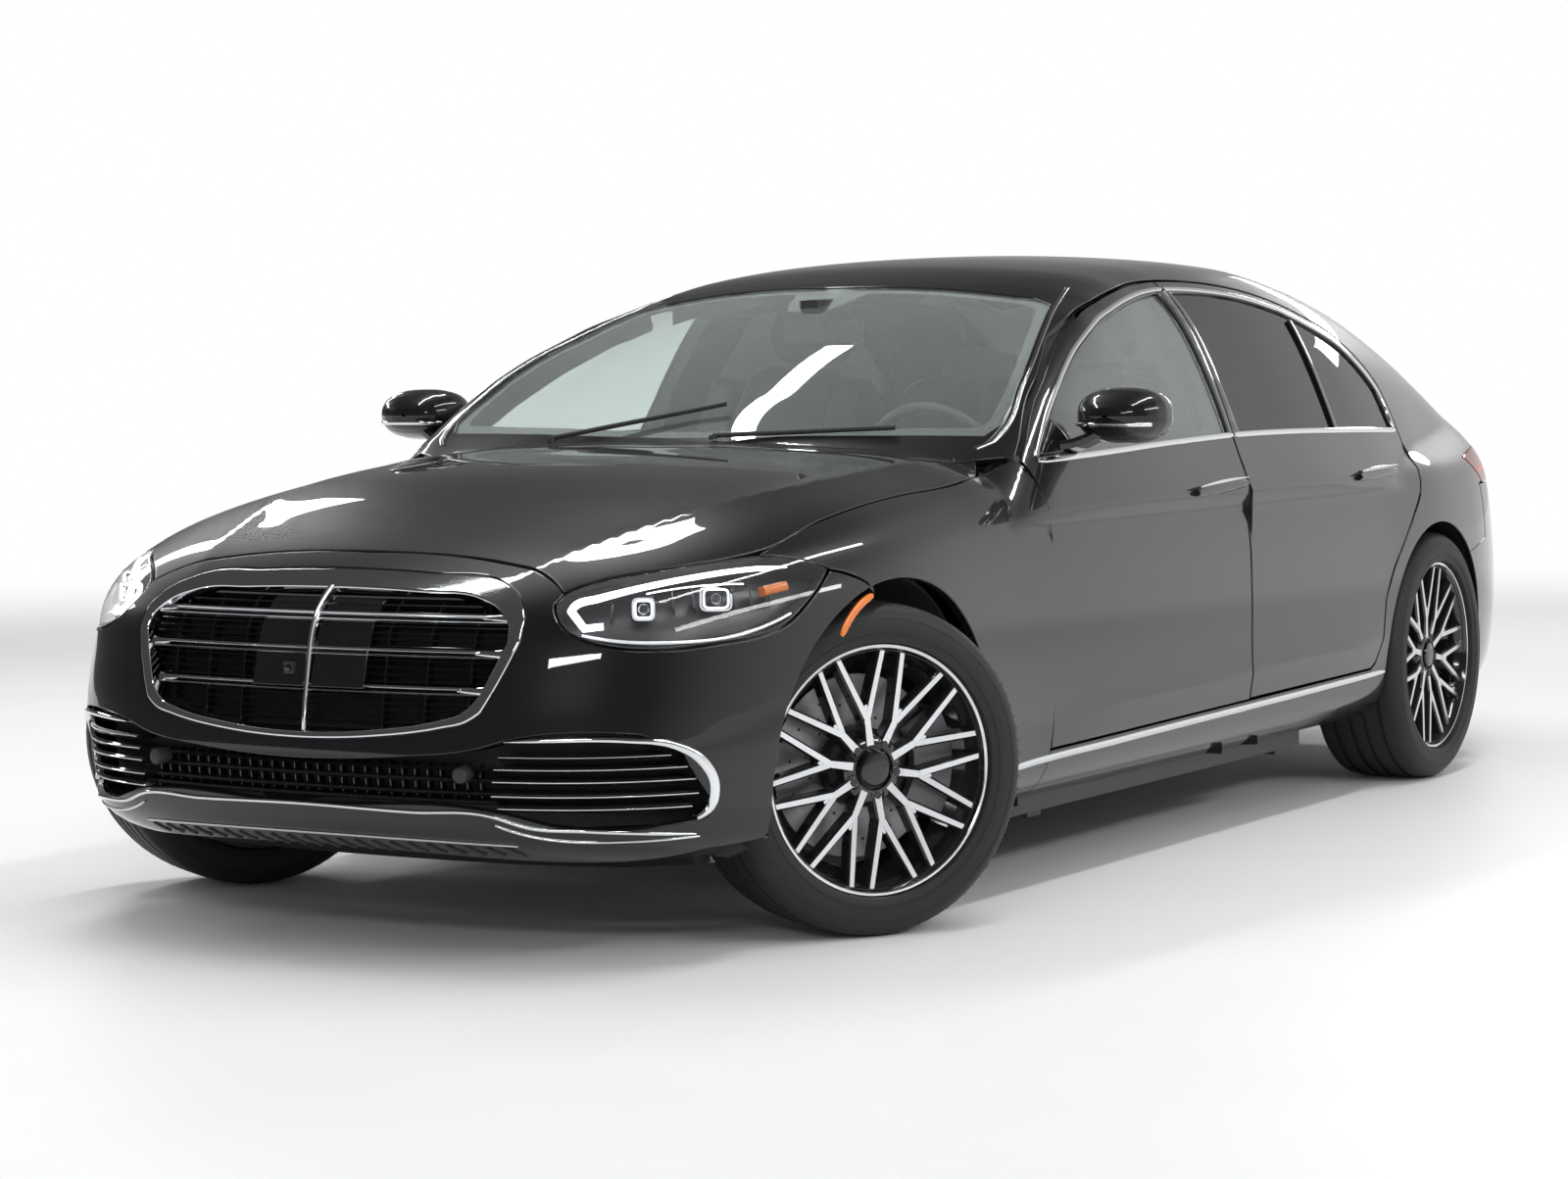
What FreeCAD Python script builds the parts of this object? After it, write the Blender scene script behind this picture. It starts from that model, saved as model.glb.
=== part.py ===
import FreeCAD, Part
import math
import os

# Large four-door sedan, X forward, Y left, Z up, origin on the floor under the middle.
# The outer skin is one closed form given by short curves; every panel is a piece of it.

V = FreeCAD.Vector
doc = FreeCAD.newDocument("sedan_car")
sheet = doc.addObject("Spreadsheet::Sheet", "Dimensions")

# Driving dimensions in millimetres and degrees: alias, value, meaning.
DIMENSIONS = [
    ("front_axle_x", 1782.5, "front axle ahead of the middle of the car"),
    ("rear_axle_x", -1433.5, "rear axle behind the middle of the car"),
    ("front_track", 1660, "between front wheel centres"),
    ("rear_track", 1676, "between rear wheel centres"),
    ("tyre_radius", 356, "free radius of all tyres"),
    ("front_tyre_width", 255, "section width of front tyres"),
    ("rear_tyre_width", 275, "section width of rear tyres"),
    ("rim_radius", 267, "radius of the rim lip"),
    ("seat_radius", 252, "radius where the tyre bead sits"),
    ("rim_well_radius", 236, "inside radius of the rim barrel"),
    ("spoke_count", 10, "spokes of a rim, each with two arms"),
    ("hub_radius", 78, "radius of the rim's hub"),
    ("engine_length", 640, "engine block with its gearbox bell"),
    ("engine_width", 520, "engine block"),
    ("engine_height", 500, "engine block"),
    ("steer_angle", 31, "front wheels turned to the right as stored"),
    ("disc_radius_front", 200, "front brake disc"),
    ("disc_radius_rear", 180, "rear brake disc"),
    ("disc_thickness", 34, "brake disc over both faces"),
    ("front_arch_radius", 405, "front wheel arch"),
    ("rear_arch_radius", 385, "rear wheel arch"),
    ("liner_wall", 8, "wall of a wheelhouse liner"),
    ("side_thickness", 100, "door and side wall below the belt"),
    ("frame_thickness", 45, "door frame, pillar and roof wall"),
    ("panel_thickness", 16, "fenders, bumpers and lids"),
    ("glass_thickness", 5, "window glass"),
    ("shut_gap", 6, "gap around doors and lids"),
    ("hinge_inset", 46, "door hinge axis inboard of the widest skin"),
    ("hinge_sweep", 76, "radius of the door's leading edge about its hinge"),
    ("front_hinge_x", 972, "front door hinge axis"),
    ("rear_hinge_x", -168, "rear door hinge axis"),
    ("belt_height", 975, "where glass meets body"),
    ("sill_bottom", 205, "lower edge of the sill"),
    ("floor_height", 165, "underside of the floor pan"),
    ("floor_thickness", 22, "floor pan with its coating"),
    ("tunnel_width", 300, "centre tunnel"),
    ("tunnel_height", 190, "centre tunnel above the floor"),
    ("seat_width", 530, "front seat"),
    ("seat_offset", 428, "front seat off the centre line"),
    ("seat_length", 520, "front seat cushion"),
    ("seat_height", 560, "top of the seat cushion over the ground"),
    ("steering_wheel_radius", 188, "rim of the steering wheel"),
    ("steering_grip_radius", 15, "half thickness of its rim"),
    ("exhaust_radius", 34, "exhaust pipe"),
    ("handle_length", 350, "door handle"),
    ("plate_hole_radius", 3.5, "licence plate screws"),
    ("hinge_pin_radius", 8, "pins of doors and lids"),
    ("pin_clearance", 0.4, "between a pin and its eye"),
    ("hinge_leaf_height", 40, "door hinge leaf"),
    ("kingpin_reach", 176, "round seat of a knuckle about its steering axis"),
]
for row, (alias, value, meaning) in enumerate(DIMENSIONS, 1):
    sheet.set("A%d" % row, meaning)
    sheet.set("B%d" % row, str(value))
    sheet.setAlias("B%d" % row, alias)
doc.recompute()


def dim(alias):
    return float(sheet.get(alias))


gap = dim("shut_gap")
wall = dim("panel_thickness")
glass = dim("glass_thickness")
belt = dim("belt_height")
sill = dim("sill_bottom")
XF = dim("front_axle_x")
XR = dim("rear_axle_x")
YF = dim("front_track") / 2
YR = dim("rear_track") / 2
RT = dim("tyre_radius")
SIDES = (("left", 1), ("right", -1))


# Curves of the skin

def curve(points):
    """Smooth curve through (station, value) pairs that never overshoots them."""
    pts = sorted(points)
    n = len(pts)
    step = [pts[i + 1][0] - pts[i][0] for i in range(n - 1)]
    rise = [(pts[i + 1][1] - pts[i][1]) / step[i] for i in range(n - 1)]
    slope = [rise[0]] + [0.0] * (n - 2) + [rise[-1]]
    for i in range(1, n - 1):
        if rise[i - 1] * rise[i] > 0:
            a = 2 * step[i] + step[i - 1]
            b = step[i] + 2 * step[i - 1]
            slope[i] = (a + b) / (a / rise[i - 1] + b / rise[i])

    def value(t):
        t = min(max(t, pts[0][0]), pts[-1][0])
        i = 0
        while i < n - 2 and t > pts[i + 1][0]:
            i += 1
        h = step[i]
        u = (t - pts[i][0]) / h
        return ((2 * u ** 3 - 3 * u ** 2 + 1) * pts[i][1] + (u ** 3 - 2 * u ** 2 + u) * h * slope[i]
                + (3 * u ** 2 - 2 * u ** 3) * pts[i + 1][1] + (u ** 3 - u ** 2) * h * slope[i + 1])
    return value


# Each pair is station along the car (or height) and the value there.
half_width = curve([(-2700, 880), (-2200, 935), (-1750, 965), (-1430, 975), (-1000, 965), (-300, 962),
                    (600, 960), (1200, 958), (1780, 963), (2100, 955), (2400, 940), (2700, 900)])
side_inset = curve([(140, 75), (200, 45), (280, 24), (360, 14), (480, 4), (600, 0), (720, 3), (820, 12),
                    (900, 26), (960, 46), (1000, 66), (1100, 120), (1300, 240)])
nose_x = curve([(140, 2535), (200, 2585), (280, 2622), (360, 2640), (420, 2644.5), (500, 2636), (600, 2612),
                (700, 2586), (780, 2560), (860, 2520), (950, 2460), (1100, 2350)])
tail_x = curve([(140, -2500), (220, -2570), (320, -2618), (420, -2640), (500, -2644.5), (600, -2636),
                (700, -2615), (800, -2598), (900, -2585), (1000, -2575), (1100, -2570), (1300, -2550)])
deck_z = curve([(2700, 800), (2520, 822), (2360, 858), (2178, 893), (1952, 940), (1736, 975), (1412, 1010),
                (1200, 1028), (900, 1030), (300, 1030), (-500, 1030), (-1200, 1040), (-1600, 1070),
                (-1900, 1110), (-2100, 1125), (-2300, 1120), (-2500, 1105), (-2700, 1090)])
deck_crown = curve([(2600, .10), (2200, .08), (1700, .075), (1200, .06), (900, .03), (-800, .03),
                    (-1400, .06), (-2000, .15), (-2600, .15)])
roof_z = curve([(1500, 900), (1300, 985), (1200, 1035), (1000, 1145), (750, 1265), (500, 1365), (300, 1427),
                (100, 1467), (-200, 1494), (-500, 1503), (-800, 1496), (-1100, 1464), (-1400, 1400),
                (-1700, 1306), (-2000, 1190), (-2200, 1105), (-2400, 1010), (-2600, 900)])
cabin_width = curve([(1600, 840), (1100, 885), (300, 905), (-500, 905), (-1000, 890), (-1350, 862),
                     (-1800, 800), (-2300, 720), (-2700, 620)])
roof_bow = curve([(1600, .30), (600, .26), (-300, 0), (-1200, -.12), (-2200, -.20), (-2700, -.20)])
join_softness = curve([(2700, .012), (1300, .012), (1000, .006), (-1200, .006), (-1500, .03), (-2000, .045),
                       (-2700, .045)])
CORE_HEIGHT = 500       # the skin is measured outwards from this height
CORE_END = 1200         # and, at nose and tail, from this far fore and aft
KEEL_HEIGHT = 165       # underside of the skin


def skin_level(x, y, z):
    """1 on the skin, less inside it, more outside."""
    y = abs(y)
    w = min(y, 1000) / 1000
    across = y / (half_width(x) - side_inset(z))
    if z > CORE_HEIGHT:
        upward = (z - CORE_HEIGHT) / (deck_z(x) - deck_crown(x) * y * y / 1000 - CORE_HEIGHT)
    else:
        upward = (CORE_HEIGHT - z) / (CORE_HEIGHT - KEEL_HEIGHT)
    if x > 0:
        along = max(x - CORE_END, 0) / (nose_x(z) - 173 * w ** 2 - 433 * w ** 6 - CORE_END)
    else:
        along = max(-CORE_END - x, 0) / (-tail_x(z) - 200 * w ** 2 - 420 * w ** 6 - CORE_END)
    body = (across ** 7 + max(upward, 0) ** 7 + max(along, 0) ** 7) ** (1 / 7)
    if z < 800 or x > 1500 or x < -2450:
        return body
    t = z - 1000
    side = max(cabin_width(x) - .42 * t - .17 * t * abs(t) / 1000, 50)
    dome = min(max((1100 - abs(x + 400)) / 1000 + .6, .3), 1)
    top = roof_z(x + roof_bow(x) * y * y / 1000) - .10 * y * y / 1000 * dome
    cabin = ((y / side) ** 13 + ((z - CORE_HEIGHT) / (top - CORE_HEIGHT)) ** 13) ** (1 / 13)
    k = join_softness(x)
    mix = min(max(.5 + .5 * (cabin - body) / k, 0), 1)
    return cabin * (1 - mix) + body * mix - k * mix * (1 - mix)


def skin_hit(start, direction, reach=2200):
    """Point where a line from inside the car leaves the skin."""
    low, high = 0.0, reach
    for _ in range(24):
        middle = (low + high) / 2
        p = start + direction * middle
        if skin_level(p.x, p.y, p.z) < 1:
            low = middle
        else:
            high = middle
    return start + direction * low


# Lofted shells

def inset_line(points, depths, centre):
    """Open line moved towards centre by a depth at each point; points are (u, v)."""
    moved = []
    for i, (u, v) in enumerate(points):
        before = points[max(i - 1, 0)]
        after = points[min(i + 1, len(points) - 1)]
        tu, tv = after[0] - before[0], after[1] - before[1]
        length = math.hypot(tu, tv)
        nu, nv = -tv / length, tu / length
        if nu * (centre[0] - u) + nv * (centre[1] - v) < 0:
            nu, nv = -nu, -nv
        moved.append((u + nu * depths[i], v + nv * depths[i]))
    return moved


def loft(sections):
    """Ruled solid through closed sections, each a list of points."""
    return Part.makeLoft([Part.makePolygon(s + [s[0]]) for s in sections], True, True)


def prism(points, direction):
    """Straight solid on a polygon."""
    return Part.Face(Part.makePolygon(points + [points[0]])).extrude(direction)


def side_prism(outline, y0, y1):
    """Solid across the car on an (x, z) outline."""
    return prism([V(x, y0, z) for x, z in outline], V(0, y1 - y0, 0))


def front_prism(outline, x0, x1):
    """Solid along the car on a (y, z) outline."""
    return prism([V(x0, y, z) for y, z in outline], V(x1 - x0, 0, 0))


def plan_prism(outline, z0, z1):
    """Upright solid on an (x, y) outline."""
    return prism([V(x, y, z0) for x, y in outline], V(0, 0, z1 - z0))


def grown(outline, amount):
    """Closed outline moved outwards by an amount (inwards if negative)."""
    n = len(outline)
    area = sum(outline[i][0] * outline[(i + 1) % n][1] - outline[(i + 1) % n][0] * outline[i][1] for i in range(n))
    turn = 1 if area > 0 else -1
    result = []
    for i in range(n):
        a, b, c = outline[i - 1], outline[i], outline[(i + 1) % n]
        n1 = (turn * (b[1] - a[1]), -turn * (b[0] - a[0]))
        n2 = (turn * (c[1] - b[1]), -turn * (c[0] - b[0]))
        l1, l2 = math.hypot(*n1), math.hypot(*n2)
        n1 = (n1[0] / l1, n1[1] / l1)
        n2 = (n2[0] / l2, n2[1] / l2)
        share = amount / max(1 + n1[0] * n2[0] + n1[1] * n2[1], .4)
        result.append((b[0] + (n1[0] + n2[0]) * share, b[1] + (n1[1] + n2[1]) * share))
    return result


def mirrored(shape):
    return shape.mirror(V(0, 0, 0), V(0, 1, 0))


def sided(shape, side):
    return shape if side > 0 else mirrored(shape)


def both(shape):
    return Part.makeCompound([shape, mirrored(shape)])


CRUMB = 3000            # cubic millimetres: slivers left by the cuts


def solids(shape):
    """A shape's solids, without slivers, as one solid or a compound."""
    found = [piece for piece in shape.Solids if piece.Volume > CRUMB]
    return found[0] if len(found) == 1 else Part.makeCompound(found)


def joined(shapes):
    """Pieces welded into one."""
    return solids(shapes[0].multiFuse(shapes[1:]).removeSplitter())


def box(x0, x1, y0, y1, z0, z1):
    return Part.makeBox(x1 - x0, y1 - y0, z1 - z0, V(x0, y0, z0))


def rod(start, end, radius):
    """Round bar between two points."""
    a, b = V(*start), V(*end)
    return Part.makeCylinder(radius, (b - a).Length, a, b - a)


def across(x, z, radius, y0, y1):
    """Cylinder across the car."""
    return Part.makeCylinder(radius, y1 - y0, V(x, y0, z), V(0, 1, 0))


parts = []


def place(label, shape, placement=FreeCAD.Placement()):
    """Sub-part whose form only lofts and booleans give."""
    piece = doc.addObject("Part::Feature", label)
    piece.Shape = shape
    piece.Placement = placement
    piece.Label = label
    parts.append(piece)
    return piece


# Ring sections of the cabin and sides

SIDE_LEVELS = [sill, 300, 430, 600, 760, 880, belt]
FRAME_SHARES = [.45, .85]
ROOF_SHARES = [.93, .62, .30]


def corner_height(x):
    """Height where side and roof meet at a station."""
    low, high = belt, 1503.0
    for _ in range(24):
        z = (low + high) / 2
        t = z - 1000
        y = cabin_width(x) - .42 * t - .17 * t * abs(t) / 1000
        dome = min(max((1100 - abs(x + 400)) / 1000 + .6, .3), 1)
        if z < roof_z(x + roof_bow(x) * y * y / 1000) - .10 * y * y / 1000 * dome:
            low = z
        else:
            high = z
    return max(low, belt + 40)


def half_section(x):
    """Outer points (y, z) from the sill up to the roof's middle."""
    corner = corner_height(x)
    heights = SIDE_LEVELS + [belt + s * (corner - belt) for s in FRAME_SHARES]
    points = [(skin_hit(V(x, 0, z), V(0, 1, 0)).y, z) for z in heights]
    edge = points[-1][0]
    points += [(edge * s, skin_hit(V(x, edge * s, 700), V(0, 0, 1)).z) for s in ROOF_SHARES]
    points.append((0, skin_hit(V(x, 0, 700), V(0, 0, 1)).z))
    return points


def ring(stations, outer, inner):
    """Shell over the cabin between two depths under the skin, each (below belt, above belt)."""
    sections = []
    for x in stations:
        line = half_section(x)
        faces = []
        for low, high in (outer, inner):
            lower = len(SIDE_LEVELS) - 1
            depths = [low] * lower + [(low + high) / 2] + [high] * (len(line) - lower - 1)
            face = inset_line(line, depths, (0, 700))
            face[-1] = (0, face[-1][1])
            faces.append(face + [(-y, z) for y, z in face[-2::-1]])
        sections.append([V(x, y, z) for y, z in faces[0] + faces[1][::-1]])
    return loft(sections)


BODY_STATIONS = [-2330, -2180, -2000, -1800, -1434, -1150, -700, -150, 350, 700, 1000, 1180, 1330]
door_depth = (dim("side_thickness"), dim("frame_thickness"))
cabin = ring(BODY_STATIONS, (0, 0), door_depth)

# Door outlines (x, z) on the left side, round the glass and down to the sill.
front_edge = dim("front_hinge_x")
rear_edge = dim("rear_hinge_x")
split_x = rear_edge + dim("hinge_sweep") + gap
FRONT_DOOR = [(front_edge, 326), (front_edge, belt - 20), (1046, belt + 12), (968, 1080), (790, 1206), (552, 1312),
              (350, 1368), (127, 1404), (-84, 1416), (-140, 1418), (-118, 1200), (split_x, belt + 10),
              (split_x, 342)]
REAR_DOOR = [(rear_edge, 345), (rear_edge, belt + 10), (split_x - gap, belt + 10), (-132 - gap, 1200),
             (-156 - gap, 1418), (-352, 1418), (-646, 1398), (-990, 1333), (-1235, 1248), (-1372, 1142),
             (-1378, 1000), (-1368, 898), (-1324, 845), (-1230, 769), (-1138, 688), (-1060, 616),
             (-1008, 544), (-1001, 436), (-940, 356)]
FRONT_WINDOW = [(1010, 985), (930, 1068), (772, 1176), (545, 1282), (350, 1338), (127, 1375), (-100, 1388),
                (-96, 1200), (-72, 1012), (400, 1000)]
REAR_WINDOW = [(-150, 1018), (-172, 1200), (-184, 1388), (-352, 1389), (-646, 1369), (-985, 1304), (-1200, 1226),
               (-1318, 1132), (-1330, 1005), (-700, 1018)]
QUARTER_POST = [(-818, 1000), (-862, 1318), (-890, 1318), (-848, 1000)]
DOORS = {
    "front": (FRONT_DOOR, front_edge, FRONT_WINDOW, 285, 868, 904),
    "rear": (REAR_DOOR, rear_edge, REAR_WINDOW, -815, 879, 905),
}
hinge_y = half_width(0) - dim("hinge_inset")
# Plan strip (x, y) that holds the doors: its inner line runs outside the windscreen pillar.
DOOR_SIDE = [(1150, 1200), (1150, 800), (925, 778), (660, 726), (415, 664), (150, 640), (-1100, 640), (-1400, 680),
             (-1500, 700), (-1500, 1200)]


def door_plug(outline, hinge_x, growth):
    """Space of one door, with its leading edge round about the hinge axis."""
    inner = grown(outline, growth - 14)
    outer = grown(outline, growth + 2)
    wedge = loft([[V(x, 600, z) for x, z in inner], [V(x, 1010, z) for x, z in outer]])
    low = outline[0][1] - growth
    edge = Part.makeCylinder(dim("hinge_sweep") + growth, belt + 12 - low, V(hinge_x, hinge_y, low))
    return wedge.fuse(edge).common(plan_prism(grown(DOOR_SIDE, growth), 0, 1600))


# Door hinges: a leaf on the post reaches in behind the skin and holds a pin
pin = dim("hinge_pin_radius")
eye = pin + dim("pin_clearance")
leaf = dim("hinge_leaf_height")
LEAF_HEIGHTS = (440, 790)
LEAF_BACK = 76
LEAF_SWEEP = [(-16, -140), (-16, 15), (15, 15), (82, -13), (82, -140)]


def hinge_leaf(hinge_x, z, post_x):
    """Leaf with its pin, left side: in from the axis, then forward to the post."""
    reach = box(hinge_x - 12, hinge_x + 12, hinge_y - LEAF_BACK - 16, hinge_y, z, z + leaf)
    boss = Part.makeCylinder(12, leaf, V(hinge_x, hinge_y, z))
    arm = box(hinge_x - 12, post_x, hinge_y - LEAF_BACK - 16, hinge_y - LEAF_BACK, z, z + leaf)
    stud = Part.makeCylinder(pin, leaf + 40, V(hinge_x, hinge_y, z - 20))
    return joined([reach, boss, arm, stud])


def leaf_space(hinge_x, z):
    """Room in the door for a leaf through the swing, with the eyes for its pin."""
    outline = [(hinge_x + x, hinge_y + y) for x, y in LEAF_SWEEP]
    return plan_prism(outline, z - 4, z + leaf + 4).fuse(
        Part.makeCylinder(eye, leaf + 50, V(hinge_x, hinge_y, z - 25)))


body_cut = []
doors = {}
for name, (outline, hinge_x, window, handle_x, z0, z1) in DOORS.items():
    plug = door_plug(outline, hinge_x, 0)
    doors[name] = cabin.common(plug)
    for z in LEAF_HEIGHTS:
        doors[name] = doors[name].cut(leaf_space(hinge_x, z))
    body_cut.append(door_plug(outline, hinge_x, gap))


# Glass sheets and the openings cut for them

pane = ring(BODY_STATIONS, (8, 8), (8 + glass, 8 + glass))
SCREEN = [(1190, 0), (1172, 200), (1120, 420), (1050, 620), (1000, 745), (926, 752), (776, 722), (665, 692),
          (479, 638), (345, 598), (330, 540), (352, 300), (372, 0)]
BACKLIGHT = [(-1235, 0), (-1220, 300), (-1185, 520), (-1500, 602), (-1830, 640), (-1930, 400), (-1955, 0)]


def full(outline):
    """Half plan outline (x, y) mirrored to the whole."""
    return outline + [(x, -y) for x, y in outline[-2:0:-1]]


screen_space = plan_prism(full(SCREEN), 800, 1600)
backlight_space = plan_prism(full(BACKLIGHT), 980, 1600)
place("windscreen", solids(pane.common(screen_space)))
place("rear_window", solids(pane.common(backlight_space)))

# Trunk lid: sections along the car, deck and rear face in one
LID_HALF = 610
LID_FRONT = -1990
LID_LOW = 700
LID_ANGLES = [90, 74, 60, 50, 42, 35, 26, 14, 0]


def lid_section(y, start, depth):
    """Closed (x, z) section of the lid at a width, its skin at a depth."""
    line = []
    for a in LID_ANGLES:
        p = skin_hit(V(start, y, LID_LOW), V(-math.cos(math.radians(a)), 0, math.sin(math.radians(a))))
        line.append((p.x, p.z))
    inner = inset_line(line, [depth] * len(line), (start, LID_LOW))
    inner[0] = (start, inner[0][1])
    inner[-1] = (inner[-1][0], LID_LOW)
    return [V(x, y, z) for x, z in line + inner[::-1]]


lid_widths = [-LID_HALF, -480, -300, -120, 0, 120, 300, 480, LID_HALF]
lid = loft([lid_section(y, LID_FRONT, 30) for y in lid_widths])
# Licence plate recess with its four holes in a flat back
PLATE = (-265, 265, 762, 908)
plate_x = skin_hit(V(LID_FRONT, 0, 835), V(-1, 0, 0)).x + 24
lid = lid.cut(box(-2800, plate_x, *PLATE)).fuse(box(plate_x, plate_x + 12, *PLATE))
for y in (-89, 89):
    for z in (835 - 60.5, 835 + 60.5):
        lid = lid.cut(rod(V(-2800, y, z), V(plate_x + 30, y, z), dim("plate_hole_radius")))
lid_space = box(-2800, LID_FRONT + gap, -LID_HALF - gap, LID_HALF + gap, LID_LOW - gap, 1300)


# Nose and tail: upright sections fanned out from a point on the centre line

def fan(centre_x, heading, angles, levels, outer, depth):
    """Shell round the nose (heading 1) or tail (heading -1)."""
    sections = []
    for a in ([-a for a in angles[:0:-1]] if angles[0] == 0 else []) + angles:
        c, s = heading * math.cos(math.radians(a)), math.sin(math.radians(a))
        line = [((skin_hit(V(centre_x, 0, z), V(c, s, 0)) - V(centre_x, 0, z)).Length, z) for z in levels]
        inner = inset_line(line, [depth] * len(line), (0, 450))
        face = inset_line(line, [outer] * len(line), (0, 450)) if outer else line
        sections.append([V(centre_x + r * c, r * s, z) for r, z in face + inner[::-1]])
    return loft(sections)


NOSE_CENTRE = 1700
TAIL_CENTRE = -1700
NOSE_ANGLES = [0, 9, 18, 27, 36, 45, 54, 63, 70, 77]
TAIL_ANGLES = [0, 12, 24, 35, 45, 55, 64, 73, 80, 84]
NOSE_LEVELS = [185, 230, 300, 380, 470, 560, 650, 730, 790, 822]
TAIL_LEVELS = [190, 240, 320, 420, 520, 620, 720, 820, 920, 1010, 1070]
nose = fan(NOSE_CENTRE, 1, NOSE_ANGLES, NOSE_LEVELS, 0, wall)
tail = fan(TAIL_CENTRE, -1, TAIL_ANGLES, TAIL_LEVELS, 0, wall)

HOOD_AXIS_X = 1080
HOOD_TAB_Y = 738
# Hood: plan outline from its front edge, along the lamp and fender, to the cowl
HOOD = [(2374, 0), (2384, 350), (2400, 445), (2446, 532), (2408, 562), (2290, 668), (2155, 758), (2085, 786),
        (1846, 795), (1544, 801), (1277, 817), (1160, 806), (1102, 772), (1234, 560), (1300, 300), (1320, 0)]
HOOD_STATIONS = [1050, 1200, 1400, 1650, 1900, 2100, 2250, 2340, 2400, 2450]
HOOD_SHARES = [1, .86, .66, .42, .2, 0]


def hood_section(x):
    edge = min(skin_hit(V(x, 0, 700), V(0, 1, 0)).y - 15, 845)
    line = [(edge * s, skin_hit(V(x, edge * s, 640), V(0, 0, 1)).z) for s in HOOD_SHARES]
    line += [(-y, z) for y, z in line[-2::-1]]
    inner = inset_line(line, [wall] * len(line), (0, 300))
    return [V(x, y, z) for y, z in line + inner[::-1]]


hood_skin = loft([hood_section(x) for x in HOOD_STATIONS])
hood = hood_skin.common(plan_prism(full(HOOD), 700, 1100))

# Fenders: side skin rolled over the shoulder
FENDER_STATIONS = [1050, 1200, 1400, 1600, 1790, 1950, 2100, 2240, 2330]
FENDER_LEVELS = [sill, 300, 430, 600, 740]
SHOULDER_ANGLES = [12, 28, 42, 55, 68, 78]
FENDER_FRONT = [(1000, 190), (1000, 1100), (2325, 1100), (2325, 812), (2180, 792), (1990, 788), (1890, 742), (1890, 190)]


def fender_section(x):
    line = [(skin_hit(V(x, 0, z), V(0, 1, 0)).y, z) for z in FENDER_LEVELS]
    for a in SHOULDER_ANGLES:
        p = skin_hit(V(x, 690, 740), V(0, math.cos(math.radians(a)), math.sin(math.radians(a))))
        line.append((p.y, p.z))
    inner = inset_line(line, [wall] * len(line), (600, 700))
    return [V(x, y, z) for y, z in line + inner[::-1]]


fender = loft([fender_section(x) for x in FENDER_STATIONS]).common(side_prism(FENDER_FRONT, 500, 1100))

# Lamps: the lit corners, cut out of the fans by outlines seen along a slant
LAMP_SLANT = 40


def slant_prism(outline, x0, x1):
    """Solid on an (s, z) outline, s measured across a slanted line of sight, left side."""
    c, s = math.cos(math.radians(LAMP_SLANT)), math.sin(math.radians(LAMP_SLANT))
    return prism([V(x0 * c - u * s, x0 * s + u * c, z) for u, z in outline], V((x1 - x0) * c, (x1 - x0) * s, 0))


LAMP_POINTS = [(2448, 537, 756), (2411, 565, 773), (2293, 671, 800), (2157, 761, 819), (2054, 836, 817),
               (1992, 889, 791), (2039, 893, 755), (2085, 888, 722), (2135, 877, 690), (2192, 857, 671),
               (2300, 806, 657), (2400, 736, 649), (2491, 616, 669), (2502, 575, 690), (2480, 536, 735)]
LAMP = [(-x * math.sin(math.radians(LAMP_SLANT)) + y * math.cos(math.radians(LAMP_SLANT)), z) for x, y, z in LAMP_POINTS]
lamp_block = fan(NOSE_CENTRE, 1, [22, 32, 41, 50, 60, 70], [630, 690, 745, 790, 830], 0, 70)
lamp_space = slant_prism(LAMP, 1600, 3000)
hood_top = plan_prism(grown(full(HOOD), gap), 700, 1100)
lamp = lamp_block.common(lamp_space).cut(hood_top).cut(across(XF, RT, dim("front_arch_radius") + 14, 0, 1100))

# Grille and bumper openings (y, z), left half from the top
GRILLE = [(0, 797), (219, 791), (386, 779), (452, 750), (488, 710), (492, 664), (466, 597), (430, 523),
          (347, 490), (190, 468), (0, 459)]
INTAKE = [(0, 418), (250, 430), (430, 452), (484, 468), (718, 480), (775, 449), (808, 335), (798, 306),
          (762, 296), (581, 292), (474, 320), (0, 322)]


def whole(outline):
    """Half front outline (y, z) mirrored to the whole."""
    return outline + [(-y, z) for y, z in outline[-2:0:-1]]


grille_space = front_prism(whole(GRILLE), 2300, 2800)
intake_space = front_prism(whole(INTAKE), 2150, 2800)
front_arches = across(XF, RT, dim("front_arch_radius"), -1100, 1100)
rear_arches = across(XR, RT, dim("rear_arch_radius"), -1100, 1100)
bumper = nose.cut(grille_space).cut(intake_space).cut(lamp_space).cut(mirrored(lamp_space))
bumper = bumper.cut(hood_top).cut(front_arches)
fender_zone = side_prism([(1000, 190), (1000, 1100), (2330, 1100), (2330, 808), (2180, 788), (1990, 784),
                          (1886, 738), (1886, 190)], -1100, 1100)
bumper = bumper.cut(fender_zone)
fender = fender.cut(lamp_space).cut(hood_top).cut(front_arches).cut(body_cut[0])

# Mesh behind the openings, crossed by bars
GRILLE_ANGLES = [0, 11, 22, 33]
GRILLE_LEVELS = [440, 560, 680, 810]
INTAKE_ANGLES = [0, 15, 30, 45, 57, 68]
INTAKE_LEVELS = [284, 345, 405, 490]
grille_fan = fan(NOSE_CENTRE, 1, GRILLE_ANGLES, GRILLE_LEVELS, 2, 45)
grille_back = fan(NOSE_CENTRE, 1, GRILLE_ANGLES, GRILLE_LEVELS, 40, 58)
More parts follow.
